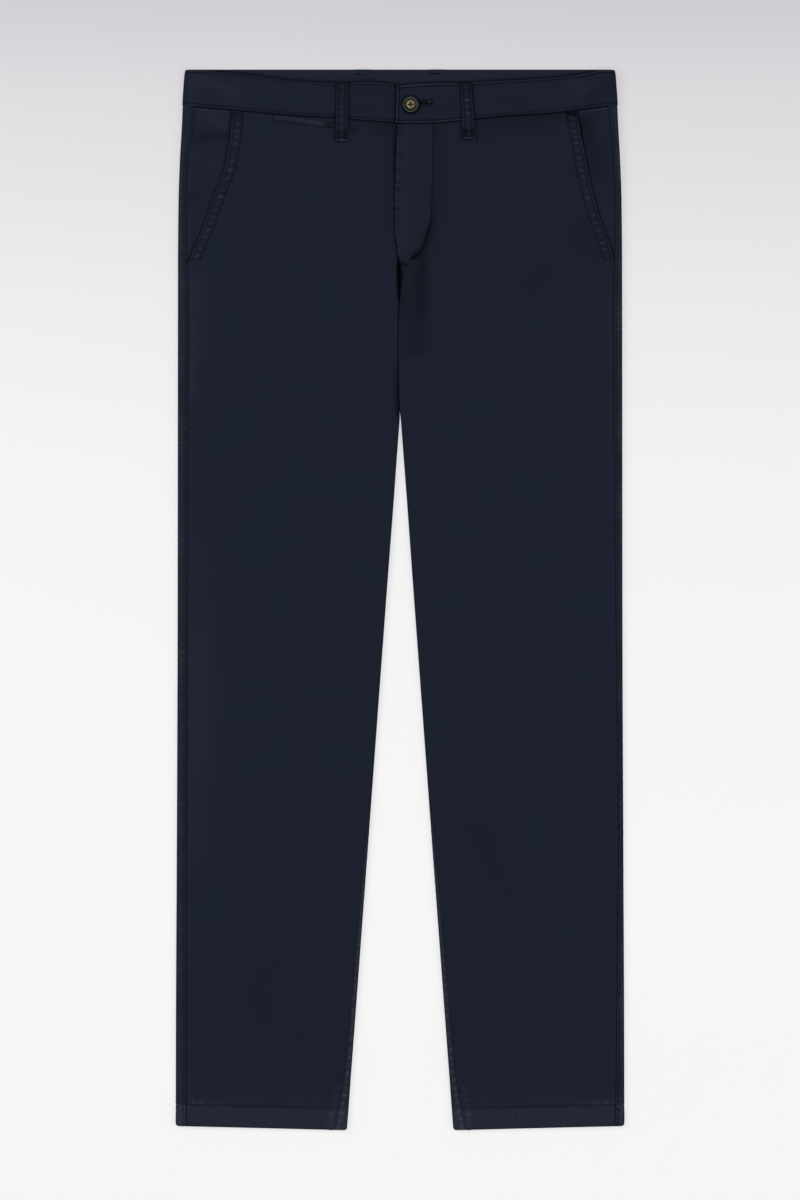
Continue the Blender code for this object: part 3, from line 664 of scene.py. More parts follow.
WAIST = table(
    "out   right_top  left_top  right_seam  left_seam",
    (0, 16.2, 16.6, 53.6, 54.3),
    (30, 13.0, 14.7, 51.8, 54.0),
    (65, 13.8, 13.9, 48.7, 51.1),
    (107, 11.8, 11.6, 46.4, 46.9),
    (150, 5.8, 9.0, 42.4, 44.2),
    (185, 2.5, 4.9, 39.3, 39.9),
    (200, 1.5, 1.6, 38.0, 37.9),
    (213, 1.2, 1.2, 36.6, 36.4))
POCKET = table(
    "down  right_mouth  left_mouth",
    (36, 166.6, 175.6),
    (67, 169.4, 180.6),
    (98, 174.7, 186.8),
    (121, 183.3, 191.4),
    (141, 190.4, 197.1),
    (162, 198.2, 204.2),
    (179, 205.6, 210.4),
    (188, 209.3, 213.2))
FLY = table(
    "down  left_edge  right_edge  stitching",
    (53, -3.0, FLY_UNDERLAP, 33.3),
    (62, -2.9, FLY_UNDERLAP, 33.2),
    (82, -3.8, FLY_UNDERLAP, 33.0),
    (117, -4.7, FLY_UNDERLAP, 32.6),
    (135, -5.4, FLY_UNDERLAP, 31.5),
    (150, -5.3, FLY_UNDERLAP, 30.4),
    (165, -4.6, -9.0, 26.4),
    (175, -3.0, -7.0, 23.6),
    (182, -2.4, -2.0, 19.0),
    (188, -1.5, 1.7, 12.5),
    (196, -0.6, 1.0, 4.0),
    (206, -0.2, 1.3, 4.0),
    (231, -1.05, 1.15, 4.0))

# How much wider than a half circle, or below 0 narrower, a front is rolled at its inner edge.
ROLL_SPREAD = table(
    "down  spread",
    (180, 0.0),
    (188, 0.3),
    (196, 1.5),
    (206, 2.0),
    (220, 0.8),
    (242, -1.2),
    (335, -1.3),
    (355, 0.0))
# Soft folds of the fronts: rise lifts the cloth; the last column paints shade below 0 and
# highlight above 0.
FOLDS = table(
    "side  out_from  down_from  out_to  down_to  width  rise  wear",
    (LEFT, 37, 115, 27, 188, 5, -0.5, 0.0),
    (LEFT, 22, 194, 21, 245, 5.5, -0.2, -0.2),
    (LEFT, 22, 200, 20, 282, 6.5, -0.2, -0.16),
    (LEFT, 23, 187, 23, 198, 4, 0.0, -0.15),
    (LEFT, 12, 195, 12, 280, 12, -0.2, -0.25),
    (LEFT, 12, 206, 13, 236, 4, 0.2, 0.0),
    (LEFT, 1, 195, 6, 195.5, 2, 0.0, -0.8),
    (LEFT, 5.5, 190, 10.5, 187.5, 0.6, 0.1, 0.8),
    (LEFT, 0, 205, 3, 245, 5, 0.0, -0.2),
    (LEFT, 188, 160, 100, 255, 18, -0.4, -0.04),
    (LEFT, 66, 690, 78, 800, 13, -0.3, -0.04),
    (LEFT, 80, 760, 118, 850, 11, -0.6, -0.06),
    (LEFT, 92, 880, 150, 1000, 15, -0.4, -0.04),
    (LEFT, 84, 50, 170, 42, 13, 0.0, -0.28),
    (LEFT, 168, 44.5, 180, 45.5, 2.2, -0.1, -0.7),
    (LEFT, 171, 104.5, 181, 107, 1.3, -0.2, -0.35),
    (RIGHT, 3, 58, 22, 57, 9, 0.0, -0.3),
    (RIGHT, 44, 56, 46, 62, 5, 0.0, -0.35),
    (RIGHT, 126.5, 46, 127, 51, 1.8, -0.1, -0.7),
    (RIGHT, 162, 46, 172, 46, 3.5, -0.1, -0.4),
    (RIGHT, 10, 70, 14, 150, 7, -0.3, -0.08),
    (RIGHT, 1, 302, 1, 345, 4.2, -0.2, -0.8),
    (RIGHT, 206, 215, 208, 320, 9, 0.2, 0.08),
    (RIGHT, 150, 240, 55, 330, 22, -0.3, -0.03),
    (RIGHT, 198, 480, 202, 700, 12, 0.2, 0.035),
    (RIGHT, 200, 570, 204, 775, 16, 0.15, 0.06),
    (RIGHT, 60, 830, 135, 900, 18, -0.35, -0.04),
    (RIGHT, 150, 930, 62, 1000, 16, -0.3, -0.04))

# Short tucks that the fly's stitching draws into its folded edge.
FLY_TUCKS = table(
    "down  reach  width  rise",
    (54.5, 12, 0.8, -0.3),
    (58.0, 9, 0.8, -0.35),
    (62.0, 10, 1.0, -0.3),
    (66.5, 7, 1.0, -0.25),
    (85.5, 8, 2.0, -0.2),
    (101.0, 10, 2.0, -0.12),
    (112.5, 9, 1.4, -0.25),
    (116.0, 8, 1.3, 0.12),
    (120.0, 9, 1.6, -0.4),
    (132.0, 8, 1.1, -0.2),
    (139.5, 9, 1.6, -0.35),
    (147.0, 9, 1.2, -0.25),
    (153.0, 8, 1.2, -0.25),
    (157.5, 7, 1.1, -0.15))

# The front belt loops: centre line and width at their two ends.
FRONT_LOOPS = table(
    "side  out_top  out_bottom  width_top  width_bottom  down_bottom",
    (LEFT, 65.6, 69.1, 11.2, 12.6, 70.5),
    (RIGHT, 57.4, 58.6, 12.0, 11.6, 72.5))


def by_side(rows):
    """The rows of a table for each side, from its column `side`."""
    return {side: [row for row in rows if row["side"] == side] for side in (LEFT, RIGHT)}


waist_top = on_each_side(WAIST, "top", key="out")
waist_seam = on_each_side(WAIST, "seam", key="out")
pocket_mouth = on_each_side(POCKET, "mouth")
fly_edge = on_each_side(FLY, "edge")
roll_spread = curve(ROLL_SPREAD, "spread")
fly_stitching = curve(FLY, "stitching")
folds = by_side(FOLDS)
front_loops = {row["side"]: row for row in FRONT_LOOPS}


def front_row_down(side, out, row):
    """row_down on a front, whose first rows follow the curve of the waist seam."""
    crest = WAIST[0]["left_seam"]
    seam = waist_seam[side](out) + SEAM
    return row_down(side, out, row) + (seam - crest) * ramp(row, WAIST_ROWS_END, crest)


def front_outer_edge(side, down):
    """Outer edge of a front: the pocket mouth, and the side seam below it."""
    below = ramp(down, POCKET_BOTTOM, POCKET_BOTTOM + 7)
    mouth = pocket_mouth[side](down)
    seam = half_width(down) - seam_inset[side](down) - JOIN
    return mouth + (seam - mouth) * below


def front_up(side, out, down):
    """Height of a front's outer face, before its stitching and puckers."""
    inner = inner_edge(side, down)
    outer = half_width(down)
    share = clamp((out - inner) / (outer - inner))
    height = edge_height(down) - SAG * 4 * share * (1 - share)
    held = ramp(min(out - inner, outer - out), 0, 10)
    height += held * crease_sum(folds[side], out, down)
    above_crotch = ramp(down, FLY_END, FLY_END - 10)
    if side == RIGHT:
        height -= FLY_STEP * ramp(out, 20, 6) * above_crotch
    else:
        past_stitching = out - fly_stitching(down)
        height += FLY_RAISE * ramp(past_stitching, 1, -1) * above_crotch
    beside_pocket = ramp(down, POCKET_BOTTOM + 8, POCKET_BOTTOM)
    from_mouth = pocket_mouth[side](down) - out
    height += POCKET_RAISE * ramp(from_mouth, POCKET_BAND + 1, POCKET_BAND - 1) * beside_pocket
    return height


def shadow(distance, core, width):
    """The reach of a painted shadow: 1 out to `core`, fading to 0 over the width beyond it."""
    return bell(max(distance - core, 0), width)


def loop_at(loop, share):
    """Centre line and width of a front belt loop, at a share of its length."""
    centre = loop["out_top"] + (loop["out_bottom"] - loop["out_top"]) * share
    return centre, loop["width_top"] + (loop["width_bottom"] - loop["width_top"]) * share


def shade_beside_loop(side, out, down):
    """How much painted shadow darkens the cloth along both sides of a front belt loop."""
    bottom = front_loops[side]["down_bottom"]
    top = waist_top[side](out)
    centre, width = loop_at(front_loops[side], (down - top) / (bottom - top))
    beside = abs(out - centre) - width / 2
    return -0.75 * shadow(beside, 0.4, 0.9) * ramp(down, bottom + 1.6, bottom + 0.6)


def fly_finish(out, down):
    """The fly: its J of stitching with painted shade and shadow, and its edge's tucks and painted
    highlight.
    """
    slope = fly_stitching(down + 0.5) - fly_stitching(down - 0.5)
    from_stitching = (out - fly_stitching(down)) / math.hypot(1, slope)
    sewn = ramp(down, *FLY_TACKED)
    beyond = ramp(from_stitching, -0.5, 0.5) * sewn
    within = ramp(from_stitching, 0.5, -0.5) * sewn
    rise = -0.4 * bell(from_stitching, 0.9) * sewn
    # Painted shade along the J, and painted shadow beside it and inside its lower end.
    wear = -0.45 * bell(from_stitching, 1.0) * sewn
    wear -= 0.25 * beyond * bell(from_stitching, 12)
    wear -= 0.55 * beyond * ramp(down, 130, 165) * shadow(from_stitching, 0.5, 4)
    wear -= 0.3 * within * ramp(down, 148, 165) * bell(from_stitching + 1, 3.5)
    from_edge = out - fly_edge[LEFT](down)
    for tuck in FLY_TUCKS:
        across = bell(down - tuck["down"] - from_edge * 0.12, tuck["width"])
        drawn = tuck["rise"] * across * ramp(from_edge, tuck["reach"], 0)
        rise += drawn
        # Painted shade in each tuck.
        wear += TUCK_SHADE * drawn
    # A painted highlight along the folded edge.
    highlight_specks = 0.6 + 1.2 * waver(down / 3.5, 18)
    wear += 0.2 * highlight_specks * bell(from_edge - 1.3, 0.9) + 0.05 * bell(from_edge - 8, 8)
    return rise, wear


def mouth_finish(side, from_mouth, down):
    """The two rows of stitching along a pocket mouth and the ropes between, in painted shade and
    highlight.
    """
    ending = ramp(down, POCKET_BOTTOM + 6, POCKET_BOTTOM)
    rope = puckers(down + from_mouth * 0.2, POCKET_ROPES, 20 + side) ** 1.3
    crest = rope * bell(from_mouth - ROPE_MIDDLE, 2.4) * ending
    broken = 0.75 + 0.9 * waver(down / 7, 23, side)
    sunk = broken * bell(from_mouth - POCKET_STITCH, 0.9)
    sunk += 0.8 * bell(from_mouth - EDGE_STITCH, 0.7)
    rise = 0.65 * crest - 0.4 * sunk * ending
    # Faded, partly painted highlight, on the ropes' crests and the folded edge; painted shade
    # along both rows and between the ropes.
    wear = 0.85 * crest + (0.25 * bell(from_mouth - 0.8, 0.7) - 0.6 * sunk) * ending
    return rise, wear - 0.3 * bell(from_mouth - ROPE_MIDDLE, 3.2) * ending


def hem_fading_and_shade(side, out, row, from_seam):
    """How the turned-up hem of a front has faded, with painted shade along its stitching and its
    folded edge.
    """
    above_edge = LENGTH - row
    from_inseam = out - inner_edge(side, row) - inseam_lap(row)
    wear = 0.1 * in_hem(row) + 0.06 * ramp(above_edge, 2 * HEM_DEPTH, HEM_DEPTH)
    wear += 0.5 * drawn_over_hem(out, row) * bell(from_seam - 16, 16)
    inseam = 0.25 * puckers(row, INSEAM_HEM_PUCKERS, 47) + 0.08 * in_hem(row)
    wear += inseam * bell(from_inseam - 2, 5)
    broken = 0.7 + 0.9 * waver(out / 8, 49)
    # Painted shade along the hem's stitching and its folded edge.
    wear -= 0.42 * broken * bell(above_edge - hem_stitch(out), 0.9)
    return wear - 0.6 * bell(above_edge, 0.5)


def front_finish(side, out, down, row):
    """What stitching, handling and painted light and shade add to a front, as (rise, shading)."""
    rise = 0.22 * waver(out / 60, down / 110, 3 * side)
    rise += 0.07 * waver(out / 16, down / 24, 9 * side)
    wear = crease_sum(folds[side], out, down, "wear")
    from_waist = down - waist_seam[side](out)
    rise -= 0.4 * ramp(from_waist, 1.3, 0)
    # Painted shade along the waist seam.
    wear -= 0.35 * bell(from_waist, LINE)
    if side == RIGHT:
        # Painted shadow that the left front's folded edge casts on the right front.
        beyond_lap = out + fly_edge[LEFT](down)
        wear -= shadow(beyond_lap, 0.4, 1.0) * ramp(down, FLY_END, FLY_END - 14)
    elif down < FLY_END:
        fly_rise, fly_wear = fly_finish(out, down)
        rise += fly_rise
        wear += fly_wear
    from_mouth = pocket_mouth[side](down) - out
    if down < POCKET_BOTTOM + 8 and from_mouth < 16:
        mouth_rise, mouth_wear = mouth_finish(side, from_mouth, down)
        rise += mouth_rise
        wear += mouth_wear
    from_seam = front_outer_edge(side, down) - out
    if down > POCKET_BOTTOM and from_seam < 12:
        drawn = puckers(down + from_seam * PUCKER_LEAN, SIDE_PUCKERS, 12 + side)
        drawn *= ramp(down, 190, 215) * bell(from_seam - 2.5, 2.4)
        rise += 0.16 * drawn
        # Painted shade along the side seam, darker in the hem.
        wear += 0.08 * drawn - (0.3 + 0.3 * in_hem(row)) * bell(from_seam, LINE)
    rise += hem_puckers(out, row)
    if LENGTH - row < 2 * HEM_DEPTH:
        wear += hem_fading_and_shade(side, out, row, from_seam)
    if side == LEFT or from_waist < 40:
        wear += shade_beside_loop(side, out, down)
    return rise, wear


def front_section(side, row, turned):
    """One line across a front, from its inner edge to its outer edge."""
    section = []

    def lay(out, depth, fold=None, rolled=0.0, painted_shade=0.0):
        down = front_row_down(side, out, row)
        rise, wear = front_finish(side, out, down, row)
        up = front_up(side, out, down) + rise - depth - turned
        across = out
        if fold:
            out += (fold[0] - out) * rolled
            up += (fold[1] - up) * rolled
        section.append((place(side, out, down, up), across, row, wear - painted_shade))

    # The inner edge: folded under at the fly, and rolled round to the inseam below it.
    edge = inner_edge(side, row) + rounded_corner(row)
    if row < FLY[-1]["down"]:
        edge = fly_edge[side](row)
    rolled = ramp(row, *FRONT_ROLL)
    height = edge_height(row)
    quarter = height / 2 * math.pi / 2
    spread = roll_spread(row)
    lap = inseam_lap(row) + JOIN / 2
    arcs = [lap + step for step in SEAM_COLUMNS]
    arcs += between(arcs[-1], max(arcs[-1], quarter) + 2.5, 11)[1:]
    # Painted shadow on the lips inside the wedge under the fly.
    wedge_shadow = ramp(row, FLY_END - 20, FLY_END - 12) * ramp(row, *WEDGE_END)
    lip_end = edge + spread + height / 2 + arcs[-1] - quarter
    flats = [(edge + FOLD_RADIUS * (1 - math.sin(turn)), FOLD_RADIUS * (1 - math.cos(turn)))
             for turn in between(math.pi, 0, 7)]
    flats += [(out, 0.0) for out in between(edge + FOLD_RADIUS, lip_end, 8)[1:]]
    for arc, (flat_out, flat_depth) in zip(arcs, flats):
        drawn = puckers(row + arc * PUCKER_LEAN, INSEAM_PUCKERS, 16 + side)
        drawn *= ramp(row, *INSEAM_DRAWN) * bell(arc - lap - 2.5, 2.4)
        depth = turned + seam_dip(arc - lap) * ramp(lap, 0.5, 3) - 0.2 * drawn
        fold = folded(edge, 1, height, arc, depth, spread)
        # Painted shadow on the lip inside the wedge, and painted shade round the rolled edge.
        painted_shade = wedge_shadow * ramp(arc, quarter, quarter * 0.5)
        painted_shade += 0.6 * bell(fold[0] - edge, EDGE_LINE) * rolled
        lay(flat_out, flat_depth, fold, rolled, painted_shade)

    # The face, with its columns closest where the fly and the pocket edge are stitched.
    outer = front_outer_edge(side, row)
    outer = front_outer_edge(side, front_row_down(side, outer, row))
    stitches = max(fly_stitching(row), lip_end + 6)
    spots = between(lip_end, stitches - 1.6, 9)[1:]
    spots += [stitches + step for step in FLY_COLUMNS]
    spots += between(stitches + FLY_COLUMNS[-1], outer - 14, 19)[1:]
    spots += [outer - step for step in EDGE_COLUMNS]
    for out in spots:
        lay(out, 0.0)

    # The outer edge: folded under along the pocket mouth, and sunk into the seam below it.
    below = ramp(row, POCKET_BOTTOM, POCKET_BOTTOM + 7)
    for turn in between(0, math.pi, 7)[1:]:
        share = turn / math.pi
        mouth_out = outer - FOLD_RADIUS * (1 - math.sin(turn))
        mouth_depth = FOLD_RADIUS * (1 - math.cos(turn))
        seam_out = outer - FOLD_RADIUS * (1 - share)
        lay(mouth_out + (seam_out - mouth_out) * below,
            mouth_depth + (SEAM_DIP * share - mouth_depth) * below)
    return section


# Corespun polyester thread, dyed with the garment and a shade darker than the cloth: each
# stitch is a short round bead of it, sunk into the line that the row has drawn in.
STITCH_PITCH = 2.9
STITCH_LENGTH = 2.4
THREAD = 0.42
STITCH_PROUD = 0.08       # how far a stitch on a front stands out of the line that it lies in
TWIST = 3.0               # size of the light and dark spots along a thread
THREAD_NAVY = ("#10141d", "#1c212f")


def make_thread(name, colours):
    material, tree, shader = new_material(name, Roughness=0.7, Specular_IOR_Level=0.05)
    spot = add_node(tree, "ShaderNodeTexCoord").outputs["Object"]
    twist = add_node(tree, "ShaderNodeTexNoise", {"Vector": spot, "Scale": 1 / (TWIST * MM)})
    tone = add_node(tree, "ShaderNodeMix",
                    {"Factor": twist.outputs["Fac"], "A": linear(colours[0]),
                     "B": linear(colours[1])}, data_type="RGBA")
    tree.links.new(tone.outputs["Result"], shader.inputs["Base Color"])
    return material


thread_navy = make_thread("corespun_sewing_thread", THREAD_NAVY)


def add_stitch(mesh, start, end, thickness=THREAD):
    """One stitch of thread, an egg from start to end."""
    run = end - start
    along = run.to_track_quat("X", "Z").to_matrix().to_4x4()
    size = Matrix.Diagonal((run.length / 2, thickness * MM / 2, thickness * MM / 2, 1))
    bmesh.ops.create_uvsphere(mesh, u_segments=6, v_segments=4, radius=1,
                              matrix=Matrix.Translation((start + end) / 2) @ along @ size)


def sew(mesh, points, pitch=STITCH_PITCH, length=STITCH_LENGTH):
    """A row of stitches along points that lie close together."""
    walked = 0.0
    start = None
    for before, after in zip(points, points[1:]):
        walked += (after - before).length / MM
        if start is None and walked >= pitch - length:
            start = before if walked >= pitch else after
        if walked >= pitch:
            add_stitch(mesh, start, after)
            walked = 0.0
            start = None


def bartack(mesh, surface, centre, across, length, count):
    """Close stitches side by side along `across`, each `length` long, as a dense bar."""
    for step in between(-0.5, 0.5, count):
        out = centre[0] + across[0] * step
        down = centre[1] + across[1] * step
        reach = Vector((across[1], across[0])).normalized() * length / 2
        add_stitch(mesh, surface(out - reach.x, down - reach.y),
                   surface(out + reach.x, down + reach.y))


def sew_front(side, name):
    """The topstitching of one front: pocket mouth, hem, and the fly on the left one."""
    mesh = bmesh.new()

    def surface(out, down, row=None):
        rise, _ = front_finish(side, out, down, row or down)
        return place(side, out, down, front_up(side, out, down) + rise + STITCH_PROUD)

    for from_mouth in (EDGE_STITCH, POCKET_STITCH):
        downs = between(waist_seam[side](180) + 2, POCKET_BOTTOM + 3, 400)
        sew(mesh, [surface(front_outer_edge(side, down) - from_mouth, down) for down in downs])
    bartack(mesh, surface, (front_outer_edge(side, POCKET_BOTTOM) - 5, POCKET_BOTTOM + 2),
            (9, 2.5), 1.8, 16)
    row = LENGTH - HEM_DEPTH
    line = []
    for out in between(inner_edge(side, row) + inseam_lap(row) + 3,
                       front_outer_edge(side, row) - 1, 500):
        row = LENGTH - hem_stitch(out)
        line.append(surface(out, row_down(side, out, row), row))
    sew(mesh, line)
    if side == LEFT:
        downs = between(waist_seam[side](32) + 1.5, 192, 500)
        sew(mesh, [surface(fly_stitching(down), down) for down in downs])
        bartack(mesh, surface, (8.5, 189.5), (5, -3), 1.6, 10)
        bartack(mesh, surface, (1.5, 192.5), (4, -1.5), 1.8, 8)
    return finish(name + "_topstitching", mesh, thread_navy)


for side, name in ((LEFT, "left_front"), (RIGHT, "right_front")):
    sections = [front_section(side, row, depth)
                for row, depth in panel_rows(WAIST[0]["left_seam"])]
    front = lay_cloth(name + "_twill", sections, side)
    thread = sew_front(side, name)
    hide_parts(name + "_leg")


# Pocket facings -------------------------------------------------------------------------
# Behind each slanted mouth lies a piece of the same twill, sewn into the waist seam and the
# side seam and backing the opening of the pocket. It sinks a little beside the mouth.
FACING_UNDERLAP = 12.0    # how far the facing shows into the shadow under the front
PANEL_WALL = 1.0          # room for the front's folded edge
MOUTH_SHADOW_DARKEST = {LEFT: 62.0, RIGHT: 58.0}          # down: where the painted shadow under each mouth is darkest
FACING_SLIVER = 0.3       # width that is left of a facing where its mouth meets the side seam
FACING_EDGE = 2.0         # width of the closest columns, beside the side seam
FACING_PUCKERS = 7.0      # spacing of the puckers along that seam

# Soft dents and swellings of the facings, where the pocket bag pulls; the last column darkens the
# dents with painted shade and lightens some swellings.
FACING_FOLDS = table(
    "side  out_from  down_from  out_to  down_to  width  rise  wear",
    (RIGHT, 172, 57, 194, 46, 7, 0.5, 0.1),
    (RIGHT, 174, 66, 198, 69, 5, -0.5, -0.3),
    (RIGHT, 186, 96, 206, 84, 6, 0.35, 0.03),
    (RIGHT, 196, 118, 206, 130, 5, -0.3, -0.08),
    (LEFT, 184, 58, 190, 49, 4, -0.55, -0.1),
    (LEFT, 188, 56, 204, 52, 5, 0.45, 0.0),
    (LEFT, 190, 80, 204, 72, 6, -0.4, -0.05),
    (LEFT, 184, 60, 196, 100, 11, 0.0, -0.2),
    (LEFT, 184, 50, 190, 66, 5, 0.0, -0.25),
    (LEFT, 197, 120, 208, 104, 5, 0.3, 0.0))
facing_folds = by_side(FACING_FOLDS)


def facing_up(side, out, down):
    """Height of a pocket facing: under the front, then level with the side seam."""
    mouth = front_outer_edge(side, down)
    seam = half_width(down) - seam_inset[side](down)
    under = front_up(side, min(out, mouth), down) - PANEL_WALL - SEAM
    shown = ramp(out, mouth, seam)
    swell = crease_sum(facing_folds[side], out, down) * ramp(out, mouth - 1, mouth + 8)
    return under + (stack(down) - under) * shown + swell


def facing_section(side, row):
    """One line across a pocket facing, from under the front to the side seam."""
    seam = half_width(row) - seam_inset[side](row) - JOIN
    mouth = min(front_outer_edge(side, row), seam - FACING_SLIVER)
    near_seam = min(FACING_EDGE, (seam - mouth) / 2)
    spots = between(mouth - FACING_UNDERLAP, mouth, 8)
    spots += between(mouth, seam - near_seam, 22)[1:]
    spots += [seam - near_seam * share for share in (0.7, 0.45, 0.25, 0.1, 0)]
    section = []
    for out in spots:
        top = waist_seam[side](out) + SEAM
        down = max(row, top + (row - BACK_BAND_DEPTH) * 0.5)
        drawn = puckers(down, FACING_PUCKERS, 24 + side) * bell(seam - out - 3, 2.4)
        up = facing_up(side, out, down) - seam_dip(seam - out)
        up += 0.2 * drawn - 0.5 * ramp(down - top, 1.3, 0)
        up += 0.12 * waver(out / 9, down / 15, 30)
        wear = 0.06 * drawn + crease_sum(facing_folds[side], out, down, "wear")
        # Painted shade along the waist seam and the side seam, and painted shadow under the pocket
        # mouth.
        wear += 0.2 * bell(down - top - 1.8, 1.0) - 0.5 * bell(down - top, LINE)
        mouth_shadow = 0.55 + 0.35 * bell(down - MOUTH_SHADOW_DARKEST[side], 14)
        wear -= mouth_shadow * shadow(out - mouth, 0.4, 2.0) + 0.3 * bell(seam - out, LINE)
        section.append((place(side, out, down, up), out, down, wear))
    return section


for side, name in ((LEFT, "left_pocket_facing"), (RIGHT, "right_pocket_facing")):
    rows = between(BACK_BAND_DEPTH + SEAM, POCKET_BOTTOM + 7, 106)
    facing = lay_cloth(name + "_twill", [facing_section(side, row) for row in rows], side)
    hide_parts(name)


# Ticket pocket --------------------------------------------------------------------------
# A narrow welt of doubled twill closes the small ticket pocket under the waistband, on the
# wearer's right. It is stitched along the seam and held by a bartack at its inner end.
WELT_ENDS = (125.0, 66.6)           # out
WELT_TOP = (46.6, 53.2)             # down, at those ends
WELT_DEPTH = 6.0
WELT_WALL = 1.0
WELT_STITCH = 1.2         # from the welt's lower edge to its stitching
WELT_PUCKERS = 11.0       # spacing of the swellings along it
WELT_TACKED = 9.0         # length of its inner end, darkened with painted shade between the bartack's stitches
TACK_PUCKERS = 2.4        # spacing of the spots of painted shade between the bartack's stitches


def tube_ring(width, wall, spots):
    """A flattened tube's cross section, as (across, depth): its outer face, then round.

    `spots` are the places across the outer face, between the two rounded edges.
    """
    radius = wall / 2
    turns = between(0, math.pi, 6)
    ring = [(spot, 0.0) for spot in spots]
    ring += [(width - radius + radius * math.sin(turn), radius * (1 - math.cos(turn)))
             for turn in turns]
    ring += [(spot, wall) for spot in spots[::-2]]
    ring += [(radius - radius * math.sin(turn), radius * (1 + math.cos(turn)))
             for turn in turns]
    return ring + ring[:1]


def rounded_end(distance, radius):
    """How much of its thickness a folded end has kept, at a distance from its tip."""
    share = clamp(distance / radius, 0.02)
    return math.sqrt(1 - (1 - share) ** 2)


def from_both_ends(near, length, start, count):
    """Places along a length: `near` to each end, and evenly spaced from `start` to `start`."""
    middle = between(start, length - start, count)
    return near + middle + [length - step for step in near[::-1]]


def lay_tube(name, sections):
    """A closed piece of doubled cloth: a grid laid round its rings, closed at both ends."""
    mesh = lay_grid(sections)
    bmesh.ops.remove_doubles(mesh, verts=mesh.verts, dist=0.00001)
    ends = [edge for edge in mesh.edges if edge.is_boundary]
    bmesh.ops.holes_fill(mesh, edges=ends)
    bmesh.ops.recalc_face_normals(mesh, faces=mesh.faces)
    return finish(name, mesh, twill)


def welt_point(across, along, depth):
    """A place on the welt: across from its upper edge, along from its outer end."""
    share = along / (WELT_ENDS[0] - WELT_ENDS[1])
    out = WELT_ENDS[0] - along
    down = WELT_TOP[0] + (WELT_TOP[1] - WELT_TOP[0]) * ramp(share, 0, 1) + across
    swell = 0.25 * bell(across - WELT_DEPTH * 0.55, 1.8) * (0.6 + puckers(along, WELT_PUCKERS, 50))
    swell -= 0.15 * bell(WELT_DEPTH - WELT_STITCH - across, 0.5)
    shown = 1 - depth / WELT_WALL
    up = front_up(RIGHT, out, down) + SEAM + WELT_WALL - depth + swell * shown
    return place(RIGHT, out, down, up)


def make_welt():
    run = WELT_ENDS[0] - WELT_ENDS[1]
    spots = [0.5, 0.9, 1.2, 1.5, 1.8, 2.2, 3, 3.8, 4.6, 5.5]
    sections = []
    for along in from_both_ends([0, 0.12, 0.3, 0.5], run, 1, 56):
        kept = rounded_end(min(along, run - along), WELT_WALL / 2)
        tacked = ramp(run - along, WELT_TACKED + 0.5, WELT_TACKED - 0.5)
        section = []
        for across, depth in tube_ring(WELT_DEPTH, WELT_WALL, spots):
            depth = WELT_WALL / 2 + (depth - WELT_WALL / 2) * kept
            # Lighter over its upper part, with painted shade along its lower edge and between the
            # bartack's stitches.
            wear = 0.17 * ramp(across, 5.2, 3.8) - 0.3 * ramp(across, 3.8, 5.2)
            wear -= (0.3 + 0.6 * puckers(along, TACK_PUCKERS, 51)) * tacked
            section.append((welt_point(across, along, depth), across, along, wear))
        sections.append(section)
    welt = lay_tube("coin_pocket_welt_twill", sections)
    mesh = bmesh.new()
    bartack(mesh, lambda out, down: welt_point(down, out, -0.15), (run - 4.8, 3.2), (6.6, 0),
            5.4, 7)
    sew(mesh, [welt_point(WELT_DEPTH - WELT_STITCH, along, -0.05)
               for along in between(2, run - WELT_TACKED, 160)])
    thread = finish("coin_pocket_topstitching", mesh, thread_navy)
    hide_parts("coin_pocket_welt")


make_welt()


# Waistband ------------------------------------------------------------------------------
# Two halves of interlined twill, joined at the centre back. Each is folded double, turned
# in at both edges and topstitched. The left half ends in the tab, whose buttonhole is
# worked in close satin stitches, and the right half is pressed under it.
BAND = 1.8                # thickness of the waistband
UNDERLAP = 1.4            # its thickness where it is pressed under the tab
BAND_PROUD = 0.7          # how far the waistband stands above the front panels
BAND_FLARE = 0.6          # how far the waistband's lower corners stand out past the legs
BAND_STITCH = 2.3         # from an edge of the waistband to its stitching
TAB_RISE = 0.3            # how far the tab stands above the rest of the waistband
TAB_SLOPE = (46.0, 32.0)            # out: where it starts to rise, and where it has risen
TAB_END = -4.6            # where the left waistband ends, past the centre line
TAB_CORNER = 2.0          # radius of the tab's corners
TAB_LEAN = 1.15           # how much further in the tab's upper corner is than its lower one
TAB_DRAWN = 0.5           # how far the whole tab's end is drawn in
UNDERLAP_SLOPE = (16.0, 6.0)        # out: where the right waistband dips under the tab
UNDERLAP_END = -30.0      # where the right waistband ends, under the tab
LOOP_BAND = 1.3           # thickness of the waistband where it is pressed over a back loop
BUTTON_PLACE = (10.6, 35.9)         # out on the left, down
BUTTONHOLE = (4.0, 32.0)            # out on the left: its two ends
BUTTONHOLE_DOWN = 34.2
BUTTONHOLE_WIDTH = 1.2
SATIN_LENGTH = 3.3        # length of a satin stitch beside the buttonhole
FRAYED_END = ((28.9, 32.2), (29.7, 34.0))       # out and down: from where, to where
UPPER_PUCKERS = 5.2       # spacing of the puckers along the waistband's upper stitching
LOWER_PUCKERS = 5.6       # and along its lower stitching
TWIST_NAVY = ("#0b0d16", "#121620")
UNDYED_CORE = ("#6c7283", "#5c6170")
